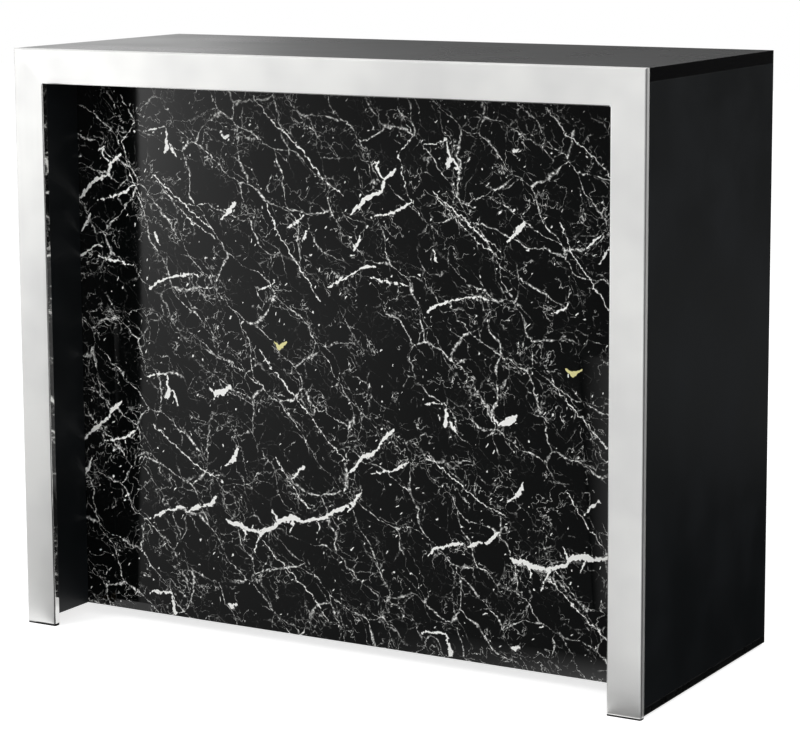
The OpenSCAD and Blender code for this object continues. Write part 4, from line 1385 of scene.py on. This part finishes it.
# The sheen card's foot and head, which the panel mirrors as soft light that dies away to the right.
SHEEN_FOOT = (
    (0.0, 0.01), (0.075, 0.01), (0.08, 0.6), (0.25, 0.52), (0.45, 0.38), (0.68, 0.18), (1.0, 0.08),
)
SHEEN_HEAD = (
    (0.0, 0.01), (0.075, 0.01), (0.08, 1.5), (0.17, 0.9), (0.32, 0.42), (0.53, 0.22), (1.0, 0.1),
)
FLOOR_SHEEN = ((0.0, 0.01), (0.075, 0.01), (0.08, 0.3), (0.45, 0.17), (1.0, 0.1))
FLOOR_FADE = ((0.0, 1.0), (0.35, 1.5), (0.65, 0.9), (1.0, 0.01))
WORKTOP_GLOW = (
    (0.0, 1.2), (0.4, 1.05), (0.44, 0.78), (0.493, 0.32), (0.548, 0.2), (0.616, 0.16), (0.74, 0.13),
    (1.0, 0.13),
)
RAIL_GLOW = ((0.0, 1.56), (0.2, 1.62), (0.34, 1.6), (0.46, 1.33), (0.6, 0.88), (1.0, 0.56))
CARDS = (
    Card("sheen_card", upright((-2.58, FRONT_ROW), (-0.85, FRONT_ROW), 0.0, 0.72), SHEEN_FOOT, SHEEN_HEAD),
    Card("front_velvet",
         lying(0.003, (-0.52, -0.165), (0.53, -0.165), (-0.85, FRONT_ROW), (-2.58, FRONT_ROW)),
         FLOOR_SHEEN, SHEEN_FOOT),
    # The dark part of the floor ends softly on both sides, without a line in the panel.
    Card("left_velvet",
         lying(0.0035, (-0.7, -0.165), (-0.5, -0.165), (-2.52, FRONT_ROW), (-2.86, FRONT_ROW)),
         FLOOR_FADE),
    Card("right_velvet", lying(0.0035, (0.4, -0.6), (0.25, -0.6), (-0.97, FRONT_ROW), (-0.5, FRONT_ROW)),
         FLOOR_FADE),
    Card("left_foot_glow",
         lying(0.0038, (-0.64, -0.2505), (-0.543, -0.2505), (-0.695, -0.45), (-0.77, -0.45)),
         evenly(1.1), evenly(0.85)),
    Card("alcove_glow",
         lying(0.0038, (-0.539, -0.2495), (-0.45, -0.2495), (-0.43, -0.156), (-0.539, -0.156)),
         evenly(0.95)),
    # Light that spills over the floor at the panel's right foot.
    Card("floor_spill", lying(0.005, (0.0, -0.19), (0.53, -0.19), (0.5, -0.33), (-0.03, -0.33)),
         ((0.0, 0.15), (0.5, 0.6), (1.0, 1.6)), ((0.0, 0.2), (1.0, 0.12))),
    Card("foot_shade", lying(0.0042, (0.541, -0.2505), (0.62, -0.2505), (0.42, -0.95), (0.28, -0.95)),
         evenly(0.3), evenly(0.85)),
    Card("back_velvet", lying(0.003, (0.601, -0.24), (7.0, FRONT_ROW), (9.0, 11.9), (0.601, 11.9)),
         evenly(0.012)),
    Card("back_flag", upright((2.0, 11.9), (9.0, 11.9), 0.0, 4.0), evenly(0.012)),
    Card("left_softbox", upright((-7.0, FRONT_ROW), (-2.62, FRONT_ROW), 0.0, 3.0),
         evenly(1.95), evenly(1.48)),
    Card("top_softbox", upright((-2.6, FRONT_ROW), (1.0, FRONT_ROW), 0.74, 3.0), RAIL_GLOW),
    Card("right_softbox", upright((-0.82, FRONT_ROW), (1.6, FRONT_ROW), 0.0, 0.72),
         evenly(1.36), evenly(0.96)),
    # Close before the left post's inner return, which would show as a light line in the panel.
    Card("return_flag", upright((-0.54, -0.262), (-0.515, -0.262), 0.0, 0.956), evenly(0.01)),
    # Behind the camera: the folds of the steel mirror it as a dark line.
    Card("camera_flag", upright((1.7, -4.6), (3.6, -3.5), 0.0, 2.6), evenly(0.01)),
    Card("side_glow", lying(0.006, (1.0, 1.5), (3.4, 1.5), (5.2, 6.5), (1.5, 6.5)),
         evenly(0.16), evenly(0.09)),
    # The joint under the worktop mirrors this as a dark line.
    Card("joint_shade", upright((0.601, REAR_ROW), (2.2, REAR_ROW), 0.5, 3.0), evenly(0.03)),
    Card("worktop_glow", upright((-5.0, REAR_ROW), (0.6, REAR_ROW), 0.5, 2.4), WORKTOP_GLOW),
)


@dataclass
class Studio:
    """A white studio: pale floor, soft lamps, black cards that keep the gloss dark, and the camera.

    Attributes:
        floor_m: length of the floor's side.
        floor_colour: the floor's own colour.
        white: the colour of what glows.
        ambient: strength of the white surround for soft light.
        floor_seen: glow that lifts the floor toward white for the camera.
        floor_in_gloss: the same where the floor shows in a gloss.
        camera_place: the camera's place.
        heading_deg: how far the camera is turned left from looking straight at the front.
        tilt_deg: how far it looks down.
        roll_deg: how far it leans to the right.
        focal_px: its focal length in pixels of a picture 800 pixels wide.
        frame_px: that picture's width.
        sensor_mm: the width of its sensor.
        shift_down: share of the width by which the lens is shifted down, to keep uprights upright.
        card_steps: squares along a card's side.
        lamps: each lamp's name, place, side and power.
        lamp_aim: the place that the lamps point at.
    """

    floor_m: float = 24.0
    floor_colour: str = "cfcfcf"
    white: str = "ffffff"
    ambient: float = 0.62
    floor_seen: float = 0.76
    floor_in_gloss: float = 0.62
    camera_place: Point = (2.352, -4.014, 1.297)
    heading_deg: float = 30.117
    tilt_deg: float = 8.738
    roll_deg: float = -0.287
    focal_px: float = 2738.6
    frame_px: float = 800.0
    sensor_mm: float = 36.0
    shift_down: float = 0.08
    card_steps: int = 16
    lamps: tuple[tuple[str, Point, float, float], ...] = (
        ("key_softbox", (-2.6, -4.2, 3.6), 2.4, 122.0),
        ("fill_softbox", (3.4, -3.4, 2.6), 2.4, 26.0),
        ("back_softbox", (0.6, 3.8, 3.2), 2.4, 34.0),
    )
    lamp_aim: Point = (0.0, 0.0, 0.5)

    def _seen(self, add: Adder) -> Source:
        """Tells whether a ray comes from the camera or shows in a gloss or through glass."""
        path = add("LightPath").outputs
        return highest(add, *(path[f"Is {ray} Ray"] for ray in ("Camera", "Glossy", "Transmission")))

    def build_surround(self) -> None:
        """Makes the white surround, whose strength is 1 where it is seen."""
        world = bpy.data.worlds.new("white_surround")
        bpy.context.scene.world = world
        world.use_nodes = True
        world.node_tree.nodes.clear()
        add = partial(add_node, world.node_tree)
        strength = add("MapRange", (self._seen(add), 0.0, 1.0, self.ambient, 1.0))
        add("OutputWorld", (add("Background", (self.white, strength)),))

    def build_floor(self) -> None:
        """Makes the floor, which is seen as white and keeps the cabinet's soft shadow."""
        half = self.floor_m / 2
        mesh = bpy.data.meshes.new("studio_floor")
        corners = lying(0.0, (-half, -half), (half, -half), (half, half), (-half, half))
        mesh.from_pydata(corners, [], [(0, 1, 2, 3)])
        floor = self._staged("studio_floor", mesh)
        floor.data.materials.append(make_material("white_floor", self._draw_floor))

    def _draw_floor(self, add: Adder, _: Node) -> Node:
        """Adds the floor's cloth and the glow that lifts it to white where it is seen.

        Args:
            add: adds a node to the tree.
            _: the place, which neither goes by.

        Returns:
            The shader.
        """
        cloth = add("BsdfDiffuse", (self.floor_colour,))
        camera_only = add("LightPath").outputs["Is Camera Ray"]
        strength = add("MapRange", (camera_only, 0.0, 1.0, self.floor_in_gloss, self.floor_seen))
        lift = add("Math", (self._seen(add), strength), operation="MULTIPLY")
        return add("AddShader", (cloth, add("Emission", (self.white, lift))))

    def _staged(self, name: str, mesh: bpy.types.Mesh) -> bpy.types.Object:
        """Puts a mesh into the scene as part of the studio.

        Args:
            name: the object's name.
            mesh: its mesh.

        Returns:
            The object.
        """
        sheet = bpy.data.objects.new(name, mesh)
        bpy.context.scene.collection.objects.link(sheet)
        return sheet

    def build_cards(self) -> None:
        """Sets up the cards, which only glossy surfaces see, as they would from outside the picture."""
        for card in CARDS:
            sheet = self._staged(card.name, card.sheet(self.card_steps))
            sheet.data.materials.append(make_material(card.name, card.draw))
            for ray in ("camera", "diffuse", "transmission", "shadow", "volume_scatter"):
                setattr(sheet, f"visible_{ray}", False)

    def build_lamps(self) -> None:
        """Hangs the soft lamps."""
        for name, place, side, power in self.lamps:
            data = bpy.data.lights.new(name, "AREA")
            data.shape = "SQUARE"
            data.size = side
            data.energy = power
            lamp = bpy.data.objects.new(name, data)
            bpy.context.scene.collection.objects.link(lamp)
            aim = Vector(self.lamp_aim) - Vector(place)
            lamp.location = place
            lamp.rotation_mode = "QUATERNION"
            lamp.rotation_quaternion = aim.to_track_quat("-Z", "Y")
            lamp.visible_glossy = False

    def build_camera(self) -> None:
        """Stands the camera where the photograph was taken from."""
        heading, tilt, roll = (math.radians(a) for a in (self.heading_deg, self.tilt_deg, self.roll_deg))
        level_run = math.cos(tilt)
        ahead = Vector((-math.sin(heading) * level_run, math.cos(heading) * level_run, -math.sin(tilt)))
        level = Vector((math.cos(heading), math.sin(heading), 0.0))
        above = level.cross(ahead)
        right = level * math.cos(roll) + above * math.sin(roll)
        up = above * math.cos(roll) - level * math.sin(roll)
        data = bpy.data.cameras.new("photo_camera")
        data.sensor_width = self.sensor_mm
        data.lens = self.focal_px / self.frame_px * data.sensor_width
        data.shift_y = -self.shift_down
        camera = bpy.data.objects.new("photo_camera", data)
        bpy.context.scene.collection.objects.link(camera)
        turned = Matrix((right, up, -ahead)).transposed().to_4x4()
        camera.matrix_world = Matrix.Translation(self.camera_place) @ turned
        bpy.context.scene.camera = camera
        bpy.context.scene.view_settings.view_transform = "Standard"

    def build(self) -> None:
        """Makes the whole studio."""
        self.build_surround()
        self.build_floor()
        self.build_cards()
        self.build_lamps()
        self.build_camera()


def main() -> None:
    """Dresses the cabinet's sub-assemblies in order and sets up the studio."""
    logging.basicConfig(level=logging.INFO, format="%(name)s: %(message)s")
    studio = Studio()
    studio.build()
    log.info("studio ready")
    portal = SteelPortal()
    portal.dress()
    for weld in portal.build():
        log.info("made %s with %d faces", weld.name, len(weld.data.polygons))
    for part in (Carcass(), Drawer(), Door(), Fittings()):
        part.dress()
        log.info("dressed %s", type(part).__name__)


if __name__ == "__main__":
    main()
